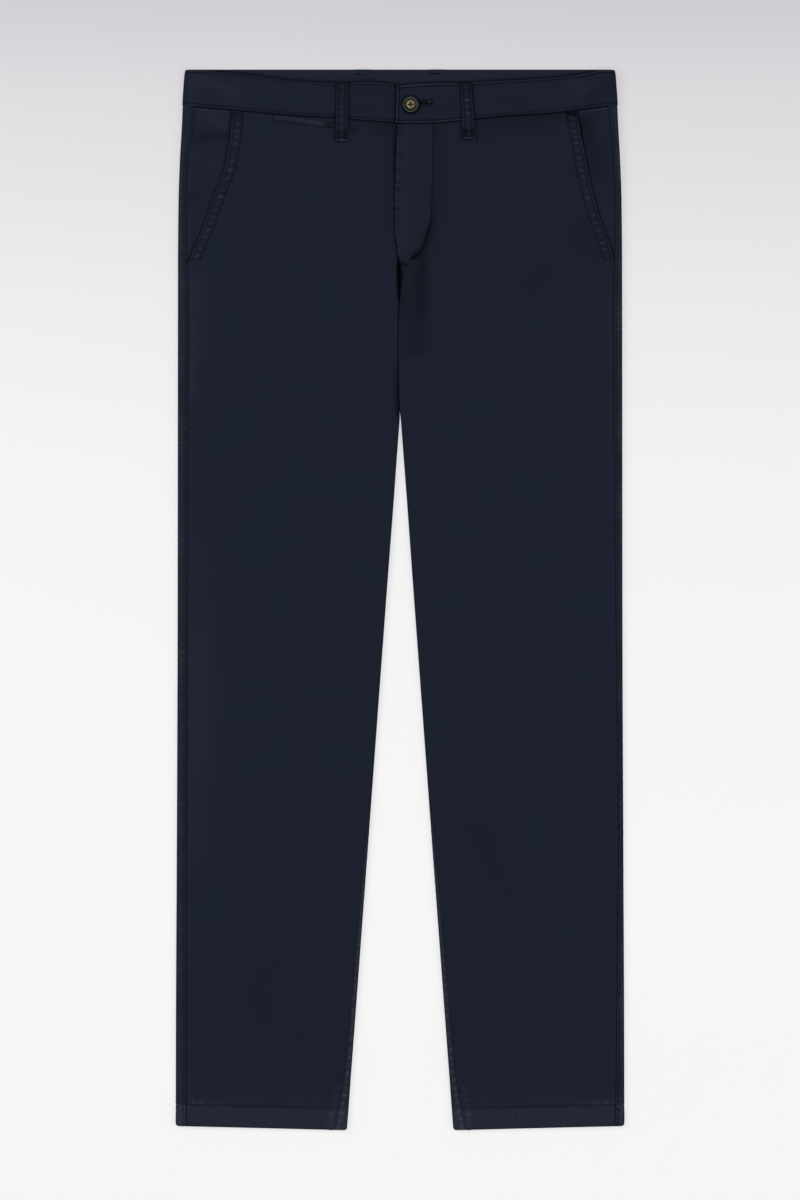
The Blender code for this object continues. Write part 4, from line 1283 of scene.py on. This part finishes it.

# How clearly the waistband's stitched edges stand out, from 0 to 1: in their relief, in the
# painted highlight on their folds and in the painted shade along their stitching.
BAND_EDGES = table(
    "out  right_upper  left_upper  right_lower  left_lower",
    (-30, 0.8, 1.0, 0.6, 1.0),
    (15, 0.8, 1.0, 0.6, 1.0),
    (60, 0.5, 0.95, 0.45, 1.0),
    (90, 0.25, 0.7, 0.5, 0.25),
    (150, 0.25, 0.7, 0.5, 0.2),
    (200, 0.7, 1.0, 0.7, 0.7),
    (224, 0.7, 1.0, 0.7, 0.7))
# Creases of the waistband: the last column paints shade in their troughs below 0, and lightens
# some patches above 0.
BAND_CREASES = table(
    "side  out_from  down_from  out_to  down_to  width  rise  wear",
    (RIGHT, 208, 6, 210, 32, 10, 0.0, 0.07),
    (RIGHT, 197, 13, 166, 24, 8, 0.35, 0.1),
    (RIGHT, 199, 22, 179, 21.5, 1.6, -0.4, -0.1),
    (RIGHT, 115, 20, 101, 21, 1.6, -0.35, -0.1),
    (RIGHT, 48, 22, 9, 24, 2.2, -0.4, -0.15),
    (RIGHT, 48, 38, 26, 40.5, 2.2, -0.35, -0.15),
    (RIGHT, 88, 27, 74, 33, 3.5, 0.25, 0.04),
    (LEFT, 97, 30, 123, 25, 1.8, -0.4, -0.1),
    (LEFT, 100, 34.5, 129, 32.5, 1.6, -0.35, -0.1),
    (LEFT, 187, 29, 213, 13, 3.0, -0.55, -0.12),
    (LEFT, 173, 12, 186, 21, 6.0, 0.35, 0.08),
    (LEFT, 38, 38, 57, 36, 1.8, -0.4, -0.15),
    (LEFT, 44, 29, 58, 27, 3.2, -0.3, -0.08))

# The bartacks that hold the back belt loops, where they show on the waistband's inner face.
BACK_TACKS = table(
    "side  out  down  width  stitches",
    (RIGHT, 42.6, 4.6, 5.6, 14),
    (RIGHT, 36.6, 4.2, 0.8, 3),
    (RIGHT, 28.6, 3.6, 0.8, 3),
    (LEFT, 34.6, 4.2, 11.6, 28))
band_creases = by_side(BAND_CREASES)
back_tacks = by_side(BACK_TACKS)
band_level = stack(BACK_BAND_DEPTH) + BAND_PROUD
upper_relief = on_each_side(BAND_EDGES, "upper", key="out")
lower_relief = on_each_side(BAND_EDGES, "lower", key="out")


def band_up(side, out):
    """Height of the front of the waistband."""
    if side == LEFT:
        return band_level + TAB_RISE * ramp(out, *TAB_SLOPE)
    return band_level - (BAND + SEAM - TAB_RISE) * ramp(out, *UNDERLAP_SLOPE)


def band_edges(side, out):
    """Upper and lower edge of the front of the waistband, narrower under the tab."""
    if side == RIGHT and out < 0:
        return waist_top[LEFT](-out) + 1, waist_seam[LEFT](-out) - 1
    return waist_top[side](out), waist_seam[side](out) - SEAM


def band_span(side, part, spot):
    """Upper and lower edge of the waistband at a station, in its part back, fold or front."""
    front_top, front_bottom = band_edges(side, spot if part == "front" else half_width(0))
    if part == "front":
        if side == LEFT and spot < TAB_END + TAB_CORNER:
            gone = TAB_CORNER - math.sqrt(TAB_CORNER ** 2 - (TAB_END + TAB_CORNER - spot) ** 2)
            return front_top + gone, front_bottom - gone
        return front_top, front_bottom
    share = spot if part == "fold" else 0.0
    return front_top * share, BACK_BAND_DEPTH + (front_bottom - BACK_BAND_DEPTH) * share


def band_finish(side, out, down, across, width):
    """What stitching adds to the waistband's outer face, as (rise, shading), with painted light
    and shade.
    """
    from_seam = width - across
    rise = 0.16 * waver(out / 20, down / 13, 60 + side)
    rise += 0.06 * waver(out / 6, down / 5, 64 + side)
    upper = upper_relief[side](out)
    lower = lower_relief[side](out)
    rise -= 0.35 * (1 + upper) / 2 * bell(across - BAND_STITCH, 0.6)
    rise -= 0.35 * (1 + lower) / 2 * bell(from_seam - BAND_STITCH, 0.6)
    rise += 0.14 * puckers(out, UPPER_PUCKERS, 66 + side) * bell(across - 1.2, 0.7)
    rise += 0.14 * puckers(out, LOWER_PUCKERS, 68 + side) * bell(from_seam - 1.3, 0.7)
    uneven = 1 + 0.8 * waver(out / 5, 67, side)
    # Faded, and partly painted highlight, on the folded edges; painted shade along the stitching.
    wear = 0.38 * uneven * upper ** 2 * bell(across - 0.8, LINE)
    wear += (0.5 * lower ** 2 * uneven - 0.15) * bell(from_seam - 0.9, LINE)
    wear -= 0.8 * upper * bell(across - BAND_STITCH, LINE)
    wear -= 0.8 * (0.3 + 0.7 * lower) * bell(from_seam - BAND_STITCH, LINE)
    return rise, wear


def band_point(side, part, spot, across, depth):
    """A place on the waistband, as (point, shading): across from its upper edge, depth in."""
    top, bottom = band_span(side, part, spot)
    down = top + across
    share = across / (bottom - top)
    edge = half_width(down) + BAND_FLARE * share
    shown = 1 - clamp(depth / BAND)
    if part == "fold":
        rise, wear = band_finish(side, edge, down, across, bottom - top)
        arc = (spot * 2 - 1) * band_level / 2 * math.pi / 2
        out, up = folded(edge, -1, band_level, arc, depth - min(rise, 0.0) * shown)
        return place(side, out, down, max(up, 0.0)), wear
    out = min(spot, edge - band_level / 2)
    rise, wear = band_finish(side, out, down, across, bottom - top)
    if part == "back":
        lifted = over_loop(out, down)
        wall = BAND - (BAND - LOOP_BAND) * lifted
        up = LOOP_LIFT * lifted + depth * wall / BAND
        up += (0.5 * bell(out, 0.8) - min(rise, 0.0)) * shown
        up += 0.1 * waver(out / 12, down / 8, 70) * (1 - shown)
        # Painted shadow on the inner face just above the front's top edge, and painted shade at
        # its upper edge.
        inner_face_shade = 0.09 - 0.9 * shadow(waist_top[side](out) - down, 0, 1.8)
        wear = wear * shown + inner_face_shade * (1 - shown) - 0.7 * bell(across, 0.3)
        return place(side, out, down, max(up, 0.0)), wear

    # The front, which ends in the tab on the left and in the underlap on the right.
    end = TAB_END if side == LEFT else UNDERLAP_END
    kept = rounded_end(out - end, BAND / 2)
    wall = BAND
    rise += crease_sum(band_creases[side], out, down)
    wear += crease_sum(band_creases[side], out, down, "wear")
    wear += shade_beside_loop(side, out, down)
    drawn_in = TAB_LEAN * (1 - share) + TAB_DRAWN
    if side == LEFT:
        out += drawn_in * ramp(out, 9, end)
        end += drawn_in
        from_button = math.hypot(out - BUTTON_PLACE[0], down - BUTTON_PLACE[1])
        from_slit = max(abs(down - BUTTONHOLE_DOWN) - 3.2, BUTTONHOLE[0] - out,
                        out - BUTTONHOLE[1], 0)
        wear -= 0.35 * bell(from_slit, LINE)
        rise -= 0.3 * ramp(from_button, 12, 8)
        rise -= 0.4 * bell(out - end - BAND_STITCH, 0.6)
        # Painted highlight on the tab's folded end and top edge, painted shade along its
        # stitching, and a painted shadow round the button.
        wear += 0.4 * bell(out - end - 0.8, LINE) - 0.8 * bell(out - end - BAND_STITCH, LINE)
        wear += 0.25 * ramp(out, 30, 22) * bell(across - 0.8, LINE)
        wear -= shadow(from_button, 8.4, 1.3)
    else:
        hidden = ramp(out, *UNDERLAP_SLOPE)
        # Painted shadow that the tab casts on the underlap.
        wear -= 0.8 * shadow(out + TAB_END + drawn_in, 0.3, 2.4)
        wall -= (BAND - UNDERLAP) * hidden
        rise *= 1 - hidden
    depth = BAND / 2 + (depth - BAND / 2) * kept
    up = band_up(side, out) - depth * wall / BAND + rise * shown
    return place(side, out, down, up), wear * shown


def band_stations(side):
    """Stations along a half of the waistband, as (part, spot), from the centre back."""
    far = half_width(LENGTH)
    stations = [("back", out) for out in (0, 0.1, 0.35, 0.9)]
    stations += [("back", out) for out in between(1.6, far - 14, 84)]
    stations += [("fold", share) for share in between(0, 1, 13)[1:-1]]
    end = TAB_END if side == LEFT else UNDERLAP_END
    stations += [("front", out) for out in between(far - 14, end + 4, 170)]
    stations += [("front", end + step)
                 for step in (3.3, 2.7, 2.3, 1.9, 1.4, 0.9, 0.5, 0.25, 0.1, 0)]
    return stations


def cut_out(piece, mesh):
    """Cuts a closed bmesh out of a piece, for good."""
    cutter = add_mesh("cutter", mesh)
    cut = piece.modifiers.new("cut", "BOOLEAN")
    cut.solver = "EXACT"
    cut.object = cutter
    graph = bpy.context.evaluated_depsgraph_get()
    uncut = piece.data
    piece.data = bpy.data.meshes.new_from_object(piece.evaluated_get(graph))
    piece.modifiers.clear()
    for left_over in (cutter.data, uncut):
        bpy.data.meshes.remove(left_over)


def cut_buttonhole(band):
    """A slit with round ends through the tab."""
    mesh = bmesh.new()
    bmesh.ops.create_cube(mesh, size=1)
    length = BUTTONHOLE[1] - BUTTONHOLE[0]
    bmesh.ops.scale(mesh, vec=Vector((length, BUTTONHOLE_WIDTH, 6)) * MM, verts=mesh.verts)
    upright = [edge for edge in mesh.edges
               if abs(edge.verts[0].co.z - edge.verts[1].co.z) > MM]
    bmesh.ops.bevel(mesh, geom=upright, offset=BUTTONHOLE_WIDTH * 0.48 * MM, segments=4,
                    profile=0.5, affect="EDGES")
    middle = place(LEFT, (BUTTONHOLE[0] + BUTTONHOLE[1]) / 2, BUTTONHOLE_DOWN,
                   band_up(LEFT, 0) - BAND / 2)
    bmesh.ops.translate(mesh, verts=mesh.verts, vec=middle)
    cut_out(band, mesh)


def work_buttonhole():
    """Satin stitches along both sides of the buttonhole, and a fan round its far end."""
    mesh = bmesh.new()
    up = band_up(LEFT, 0) - 0.1
    half = BUTTONHOLE_WIDTH / 2

    def stitch_out(centre, reach, length):
        near = centre + reach * half * 0.6
        far = centre + reach * (half + length)
        add_stitch(mesh, place(LEFT, near.x, near.y, up), place(LEFT, far.x, far.y, up), 0.6)

    for out in between(BUTTONHOLE[0] + 0.6, BUTTONHOLE[1] - 0.6, 54):
        for turn in (-1, 1):
            stitch_out(Vector((out, BUTTONHOLE_DOWN)), Vector((0, turn)), SATIN_LENGTH)
    for angle in between(-75, 75, 11):
        reach = Vector((math.cos(math.radians(angle)), math.sin(math.radians(angle))))
        stitch_out(Vector((BUTTONHOLE[1] - 0.6, BUTTONHOLE_DOWN)), reach, SATIN_LENGTH * 0.4)
    worked = finish("buttonhole_stitching", mesh, thread_dark)

    # The cut end of the twist, frayed to its undyed core.
    mesh = bmesh.new()
    (from_out, from_down), (to_out, to_down) = FRAYED_END
    for step in (0.0, 0.35):
        add_stitch(mesh, place(LEFT, from_out + step, from_down, up + 0.5),
                   place(LEFT, to_out + step, to_down - step, up + 0.35), 0.4)
    finish("frayed_thread_end", mesh, make_thread("undyed_thread_core", UNDYED_CORE))
    return worked


def tack_back_loop(side, name):
    """The bartacks of a back belt loop, on the waistband's inner face, in the darker twist as
    painted shade.
    """
    mesh = bmesh.new()

    def surface(out, down):
        return band_point(side, "back", out, down, BAND + 0.12)[0]

    for tack in back_tacks[side]:
        bartack(mesh, surface, (tack["out"], tack["down"]), (tack["width"], 0), 1.9,
                tack["stitches"])
    return finish(name + "_back_loop_bartacks", mesh, thread_dark)


def stitch_waistband(side, stations):
    """The rows of stitches along the waistband's two edges, and down the tab's end."""
    mesh = bmesh.new()
    for from_bottom in (False, True):
        line = []
        for (part, spot), (after_part, after) in zip(stations, stations[1:]):
            if side == LEFT and part == "front" and spot < TAB_END + BAND_STITCH:
                break
            for share in (0, 0.25, 0.5, 0.75) if part == after_part else (0,):
                here = spot + (after - spot) * share
                top, bottom = band_span(side, part, here)
                across = bottom - top - BAND_STITCH if from_bottom else BAND_STITCH
                line.append(band_point(side, part, here, across, -0.04)[0])
        sew(mesh, line)
    if side == LEFT:
        top, bottom = band_span(LEFT, "front", TAB_END + BAND_STITCH)
        sew(mesh, [band_point(LEFT, "front", TAB_END + BAND_STITCH, across, -0.04)[0]
                   for across in between(BAND_STITCH, bottom - top - BAND_STITCH, 100)])
    return mesh


def make_waistband(side, name):
    stations = band_stations(side)
    sections = []
    walked = 0.0
    for part, spot in stations:
        top, bottom = band_span(side, part, spot)
        width = bottom - top
        spots = from_both_ends([0.9, 1.3, 1.7, 2.0, 2.3, 2.6, 2.9, 3.4], width, 4.2, 22)
        ring = tube_ring(width, BAND, spots)
        laid = [band_point(side, part, spot, across, depth) for across, depth in ring]
        if sections:
            walked += (laid[9][0] - sections[-1][9][0]).length / MM
        sections.append([(point, across, walked, wear)
                         for (point, wear), (across, _) in zip(laid, ring)])
    band = lay_tube(name + "_waistband_twill", sections)
    if side == LEFT:
        cut_buttonhole(band)
        work_buttonhole()
    finish(name + "_waistband_topstitching", stitch_waistband(side, stations),
                         thread_navy)
    tack_back_loop(side, name)
    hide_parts(name + "_waistband")
    end = TAB_END if side == LEFT else UNDERLAP_END
    cut_length = 2 * half_width(0) + band_level / 2 - end


thread_dark = make_thread("buttonhole_twist", TWIST_NAVY)
make_waistband(LEFT, "left")
make_waistband(RIGHT, "right")


# Belt loops -----------------------------------------------------------------------------
# Each is a strip of twill folded in three, coverstitched in two rows down its face, and
# bartacked at both ends. The front ones bow over the waistband, and the back ones are
# pressed flat under it.
LOOP_WALL = 1.0           # thickness of a belt loop
LOOP_END_WALL = 1.8       # its thickness at its folded ends
LOOP_BOW = 0.5            # how far a front loop bows out from the waistband
LOOP_STITCH = 3.3         # from a loop's centre line to each row of stitches
LOOP_START = 0.6          # how far under the waistband's edge a front loop starts
LOOP_PUCKERS = 6.8        # spacing of the puckers between the two rows


def loop_finish(aside, along, length, key):
    """What the coverstitch adds to a loop's face, `aside` from its centre line, with painted light
    and shade.
    """
    drawn = puckers(along, LOOP_PUCKERS, key) ** 2 * bell(aside, 2.4)
    rise = 0.4 * drawn - 0.3 * (bell(aside - LOOP_STITCH, 0.6) + bell(aside + LOOP_STITCH, 0.6))
    rise -= 0.35 * (bell(along - 5, 0.8) + bell(length - along - 5.5, 0.8))
    ending = ramp(min(along, length - along), 0, 7)
    # Lighter on the puckers' crests and ridges, partly painted highlight; painted shade along both
    # rows.
    wear = 0.55 * drawn + 0.5 * bell(length - along - 1.4, 0.8) - 0.12
    wear += 0.22 * bell(abs(aside) - LOOP_STITCH - 1.3, 0.6)
    wear -= 0.6 * (bell(aside - LOOP_STITCH, 0.7) + bell(aside + LOOP_STITCH, 0.7))
    # Darker round the lower bartack and over the top of the loop.
    pressed = ramp(length - along, 13, 9) * ramp(length - along, 1.4, 3)
    wear -= 0.2 * ramp(along, 14, 8) + 0.45 * pressed
    return rise * ending, wear


def front_loop_point(loop, aside, along, depth):
    """A place on a front loop, as (point, shading): aside in shares of its half width."""
    side = loop["side"]
    top, seam = band_edges(side, loop["out_top"])
    bottom = loop["down_bottom"]
    start = top + LOOP_START
    down = start + along
    centre, width = loop_at(loop, (down - top) / (bottom - top))
    out = centre + aside * width / 2
    length = bottom - start
    folded_over = ramp(along, 6.5, 4.5) + ramp(length - along, 8, 6)
    wall = LOOP_WALL + (LOOP_END_WALL - LOOP_WALL) * folded_over
    bow = LOOP_BOW * ramp(down, top + 6.5, top + 18) * ramp(down, bottom - 6, seam - 6)
    drop = ramp(down, seam + 1, seam + 8)
    on_front = front_up(side, centre, max(down, seam + 1))
    low = band_up(side, centre) * (1 - drop) + on_front * drop + SEAM + bow
    rise, wear = loop_finish(aside * width / 2, along, length, 80 + side)
    kept = rounded_end(min(along, length - along), LOOP_END_WALL / 2)
    depth_share = 0.5 + (depth / LOOP_WALL - 0.5) * kept
    up = low + wall * (1 - depth_share) + rise * (1 - depth_share)
    return place(side, out, down, up), wear


def back_loop_point(side, aside, along, depth):
    """A place on a back loop, which is pressed flat between the waistband and the surface."""
    length = BACK_LOOP_ENDS[1] - BACK_LOOP_ENDS[0]
    aside *= BACK_LOOP_WIDTH / 2
    rise, wear = loop_finish(aside, along, length, 84 + side)
    kept = rounded_end(min(along, length - along), LOOP_WALL / 2)
    depth_share = 0.5 + (depth / LOOP_WALL - 0.5) * kept
    up = LOOP_WALL * depth_share - min(rise, 0.0) * (1 - depth_share)
    return place(side, BACK_LOOP_OUT + aside, BACK_LOOP_ENDS[0] + along, max(up, 0.0)), wear


def make_loop(name, point, length, width):
    """A loop from its `point` function, with its two rows of stitches and its bartacks."""
    half = width / 2
    spots = from_both_ends([0.5, 0.9, 1.5], width, 2.2, 22)
    sections = []
    for along in from_both_ends([0, 0.1, 0.3, 0.6], length, 1, 64):
        section = []
        for across, depth in tube_ring(width, LOOP_WALL, spots):
            spot, wear = point(across / half - 1, along, depth)
            section.append((spot, across, along, wear))
        sections.append(section)
    loop = lay_tube(name + "_twill", sections)
    mesh = bmesh.new()
    for aside in (-LOOP_STITCH, LOOP_STITCH):
        sew(mesh, [point(aside / half, along, -0.04)[0]
                   for along in between(6.5, length - 7, 160)], pitch=2.4, length=2.0)
    for along in (5, length - 5.5):
        bartack(mesh, lambda out, down: point(out / half, down, 0.15)[0], (0, along),
                (width - 3, 0), 1.8, 20)
    thread = finish(name + "_stitching", mesh, thread_navy)
    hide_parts(name)


for side, name in ((LEFT, "left"), (RIGHT, "right")):
    loop = front_loops[side]
    band_top, _ = band_edges(side, loop["out_top"])
    make_loop(name + "_front_belt_loop", partial(front_loop_point, loop),
              loop["down_bottom"] - band_top - LOOP_START, loop["width_top"])
for side, name in ((LEFT, "left"), (RIGHT, "right")):
    make_loop(name + "_back_belt_loop", partial(back_loop_point, side),
              BACK_LOOP_ENDS[1] - BACK_LOOP_ENDS[0], BACK_LOOP_WIDTH)


# Button ---------------------------------------------------------------------------------
# A four-hole button turned from imitation horn, which is polished polyester: a pale rim,
# an olive ring and a golden middle, browner and darker towards the wearer's left. It is
# sewn on through the tab with a cross of navy thread over a short shank.
BUTTON_RADIUS = 8.0
BUTTON_HEIGHT = 2.8
BUTTON_DISH = 0.8         # how deep its face is turned out
BUTTON_WELL = 0.18        # how much deeper its middle is
RIM_RADIUS = 0.8          # rounding of its rim
HOLE_RADIUS = 0.95
HOLE_OFFSET = 1.9
HOLE_TURN = 6.0           # degrees that the holes are turned by
BUTTON_THREAD = 0.38
HORN_CLOUD = 4.5          # size of the clouds in the horn
HORN_WAVE = 0.18          # how far they shift its rings, in shares of the radius
HORN_BROWN = "#2e2420"
HORN_RINGS = ((0.0, "#2c2118"), (0.12, "#3a3022"), (0.24, "#857b5c"), (0.38, "#8d8463"),
              (0.48, "#5c5830"), (0.56, "#1c1b0d"), (0.80, "#0e0f0a"), (0.86, "#363c3d"),
              (0.92, "#3f4445"), (0.96, "#0c0d0d"), (1.0, "#0a0b0b"))


def make_horn(centre):
    material, tree, shader = new_material(
        "imitation_horn_polyester", Roughness=0.35, Specular_IOR_Level=0.12)
    spot = add_node(tree, "ShaderNodeTexCoord").outputs["Object"]
    centred = add_node(tree, "ShaderNodeMapping", {"Vector": spot, "Location": -centre})
    flat = add_node(tree, "ShaderNodeVectorMath",
                    {0: centred.outputs["Vector"], 1: (1, 1, 0)}, operation="MULTIPLY")
    radius = add_node(tree, "ShaderNodeVectorMath", {0: flat.outputs["Vector"]},
                      operation="LENGTH")
    clouds = add_node(tree, "ShaderNodeTexNoise",
                      {"Vector": centred.outputs["Vector"], "Scale": 1 / (HORN_CLOUD * MM),
                       "Detail": 3.0})
    share = add_node(tree, "ShaderNodeMapRange",
                     {"Value": radius.outputs["Value"], "From Max": BUTTON_RADIUS * MM})
    wavy = add_node(tree, "ShaderNodeMath", {0: clouds.outputs["Fac"], 1: 0.5},
                    operation="SUBTRACT")
    waved = add_node(tree, "ShaderNodeMath",
                     {0: wavy.outputs[0], 1: HORN_WAVE, 2: share.outputs[0]},
                     operation="MULTIPLY_ADD")
    rings = add_node(tree, "ShaderNodeValToRGB", {"Fac": waved.outputs[0]}, HORN_RINGS)
    across = add_node(tree, "ShaderNodeSeparateXYZ", {"Vector": centred.outputs["Vector"]})
    browner = add_node(tree, "ShaderNodeMapRange",
                       {"Value": across.outputs["X"], "From Min": 0.0, "From Max": 6 * MM,
                        "To Max": 0.75})
    streaked = add_node(tree, "ShaderNodeMix",
                        {"Factor": browner.outputs[0], "A": rings.outputs["Color"],
                         "B": linear(HORN_BROWN)}, data_type="RGBA")
    tree.links.new(streaked.outputs["Result"], shader.inputs["Base Color"])
    return material


def button_point(turn, radius, up):
    """A place on the button: degrees round it, mm out from its axis and up its height."""
    angle = math.radians(turn)
    base = place(LEFT, *BUTTON_PLACE, band_up(LEFT, 0) + SEAM)
    return base + Vector((radius * math.cos(angle), radius * math.sin(angle), up)) * MM


def make_button():
    face = BUTTON_HEIGHT - BUTTON_DISH
    profile = [(0, face - BUTTON_WELL), (3.6, face - BUTTON_WELL), (4.2, face - BUTTON_WELL / 2),
               (4.5, face), (5.2, face + 0.08), (6.0, face + 0.28), (6.6, face + 0.52)]
    for angle in between(120, -80, 12):
        turn = math.radians(angle)
        profile.append((BUTTON_RADIUS - RIM_RADIUS + RIM_RADIUS * math.cos(turn),
                        BUTTON_HEIGHT - RIM_RADIUS + RIM_RADIUS * math.sin(turn)))
    profile += [(BUTTON_RADIUS - 1.8, 0.3), (BUTTON_RADIUS - 2.4, 0.0), (0, 0.0)]
    mesh = bmesh.new()
    points = [mesh.verts.new(button_point(0, radius, up)) for radius, up in profile]
    edges = [mesh.edges.new(pair) for pair in zip(points, points[1:])]
    bmesh.ops.spin(mesh, geom=points + edges, cent=button_point(0, 0, 0), axis=(0, 0, 1),
                   angle=math.tau, steps=72, use_merge=True)
    bmesh.ops.remove_doubles(mesh, verts=mesh.verts, dist=0.00001)
    bmesh.ops.recalc_face_normals(mesh, faces=mesh.faces)
    button = finish("waist_button_horn", mesh, make_horn(button_point(0, 0, 0)))
    holes = bmesh.new()
    for quarter in range(4):
        spot = button_point(HOLE_TURN + 90 * quarter, HOLE_OFFSET, 1.0)
        bmesh.ops.create_cone(holes, cap_ends=True, segments=20, depth=0.006,
                              radius1=HOLE_RADIUS * MM, radius2=HOLE_RADIUS * MM,
                              matrix=Matrix.Translation(spot))
    cut_out(button, holes)
    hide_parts("waist_button")

    # The cross of thread: two double stitches, which go down into the holes at their ends.
    mesh = bmesh.new()
    face_up = face - BUTTON_WELL
    for turn in (HOLE_TURN, HOLE_TURN + 90):
        for step in (-0.2, 0.2):
            aside = button_point(turn + 90, step, 0) - button_point(0, 0, 0)
            for end in (0, 180):
                rim = button_point(turn + end, HOLE_OFFSET - HOLE_RADIUS + 0.1, face_up) + aside
                low = button_point(turn + end, HOLE_OFFSET - 0.1, face_up - 1.2) + aside
                add_stitch(mesh, rim, low, BUTTON_THREAD)
            ends = [button_point(turn + end, HOLE_OFFSET - 0.4, face_up + 0.12) + aside
                    for end in (0, 180)]
            add_stitch(mesh, *ends, BUTTON_THREAD)
    bmesh.ops.create_cone(mesh, cap_ends=True, segments=16, depth=0.0004, radius1=1.6 * MM,
                          radius2=1.4 * MM, matrix=Matrix.Translation(button_point(0, 0, -0.2)))
    finish("button_thread", mesh, thread_dark)


make_button()


# The studio -----------------------------------------------------------------------------
# The trousers lie on backdrop paper that glows with painted light of its own, so that they cast
# hardly a shadow, and its tone greys beyond the waist as a painted falloff of the light. A wide
# soft light hangs above them, with a smaller one at each side, and the camera hangs straight
# over them.
VIEW_HEIGHT = 1198.5      # what the view spans at the height of the cloth
VIEW_CENTRE = (-0.05, -0.25)        # across to +X and up to +Y from the origin
CLOTH_LEVEL = 4.0         # height at which the view is measured
CAMERA_HEIGHT = 3000.0
SENSOR = 36.0
PAPER_SIZE = 20.0         # metres from the middle of the paper to its sides
PAPER_DROP = 0.3          # how far it lies under the cloth, clear of the lowest stitches
PAPER_FADE = 0.6          # metres to both sides of the origin, between which its tone changes
# The paper's tone from the hem's side to beyond the waist, greyer there as a painted falloff of
# the light.
PAPER_TONES = ((0.0, "#efefef"), (0.12, "#eeeeee"), (0.25, "#eeeeee"), (0.45, "#ececec"),
               (0.62, "#e9e9eb"), (0.75, "#e3e2e5"), (0.92, "#d6d4d7"), (1.0, "#cac7cd"))
PAPER_GREY = "#b4b4b4"
PAPER_GLOW = 0.556        # how strongly it glows with painted light of its own
AIR = "#eeeeee"
AIR_GLOW = 0.42

# Square soft lights: their places and sizes are in metres, and their power is in watts.
LIGHTS = table(
    "name  spot  size  power  colour",
    ("overhead", (0.2, -0.25, 2.6), 2.2, 40, (1.0, 1.0, 1.0)),
    ("key", (-2.0, 0.7, 1.5), 1.2, 29, (1.0, 0.99, 0.98)),
    ("fill", (2.2, -0.4, 1.5), 1.6, 16, (1.0, 1.0, 1.0)))


def make_backdrop():
    material, tree, shader = new_material(
        "matt_backdrop_paper", Roughness=0.95, Specular_IOR_Level=0.0)
    spot = add_node(tree, "ShaderNodeTexCoord").outputs["Object"]
    along = add_node(tree, "ShaderNodeSeparateXYZ", {"Vector": spot}).outputs["Y"]
    share = add_node(tree, "ShaderNodeMapRange",
                     {"Value": along, "From Min": -PAPER_FADE, "From Max": PAPER_FADE})
    tone = add_node(tree, "ShaderNodeValToRGB", {"Fac": share.outputs[0]}, PAPER_TONES)
    lit = add_node(tree, "ShaderNodeMix",
                   {"Factor": 1.0, "A": tone.outputs["Color"], "B": linear(PAPER_GREY)},
                   data_type="RGBA", blend_type="MULTIPLY")
    tree.links.new(lit.outputs["Result"], shader.inputs["Base Color"])
    tree.links.new(tone.outputs["Color"], shader.inputs["Emission Color"])
    shader.inputs["Emission Strength"].default_value = PAPER_GLOW
    mesh = bmesh.new()
    bmesh.ops.create_grid(mesh, x_segments=8, y_segments=8, size=PAPER_SIZE)
    bmesh.ops.translate(mesh, verts=mesh.verts, vec=(0, 0, -PAPER_DROP * MM))
    paper = add_mesh("backdrop_paper", mesh)
    paper.data.materials.append(material)


def hang_light(name, spot, size, power, colour):
    """A square soft light, turned to the middle of the trousers."""
    lamp = bpy.data.lights.new(name, "AREA")
    lamp.size = size
    lamp.energy = power
    lamp.color = colour
    light = add_object(name, lamp)
    light.location = spot
    light.rotation_euler = Vector(spot).to_track_quat("Z", "Y").to_euler()


def hang_camera():
    lens = bpy.data.cameras.new("camera")
    lens.sensor_width = SENSOR
    lens.lens = SENSOR * CAMERA_HEIGHT / VIEW_HEIGHT
    camera = add_object("camera", lens)
    camera.location = Vector((*VIEW_CENTRE, CAMERA_HEIGHT + CLOTH_LEVEL)) * MM
    bpy.context.scene.camera = camera


make_backdrop()
for light in LIGHTS:
    hang_light(**light)
hang_camera()
world = bpy.data.worlds.new("studio")
world.use_nodes = True
air = world.node_tree.nodes["Background"]
air.inputs["Color"].default_value = linear(AIR)
air.inputs["Strength"].default_value = AIR_GLOW
bpy.context.scene.world = world
bpy.context.scene.view_settings.view_transform = "Standard"
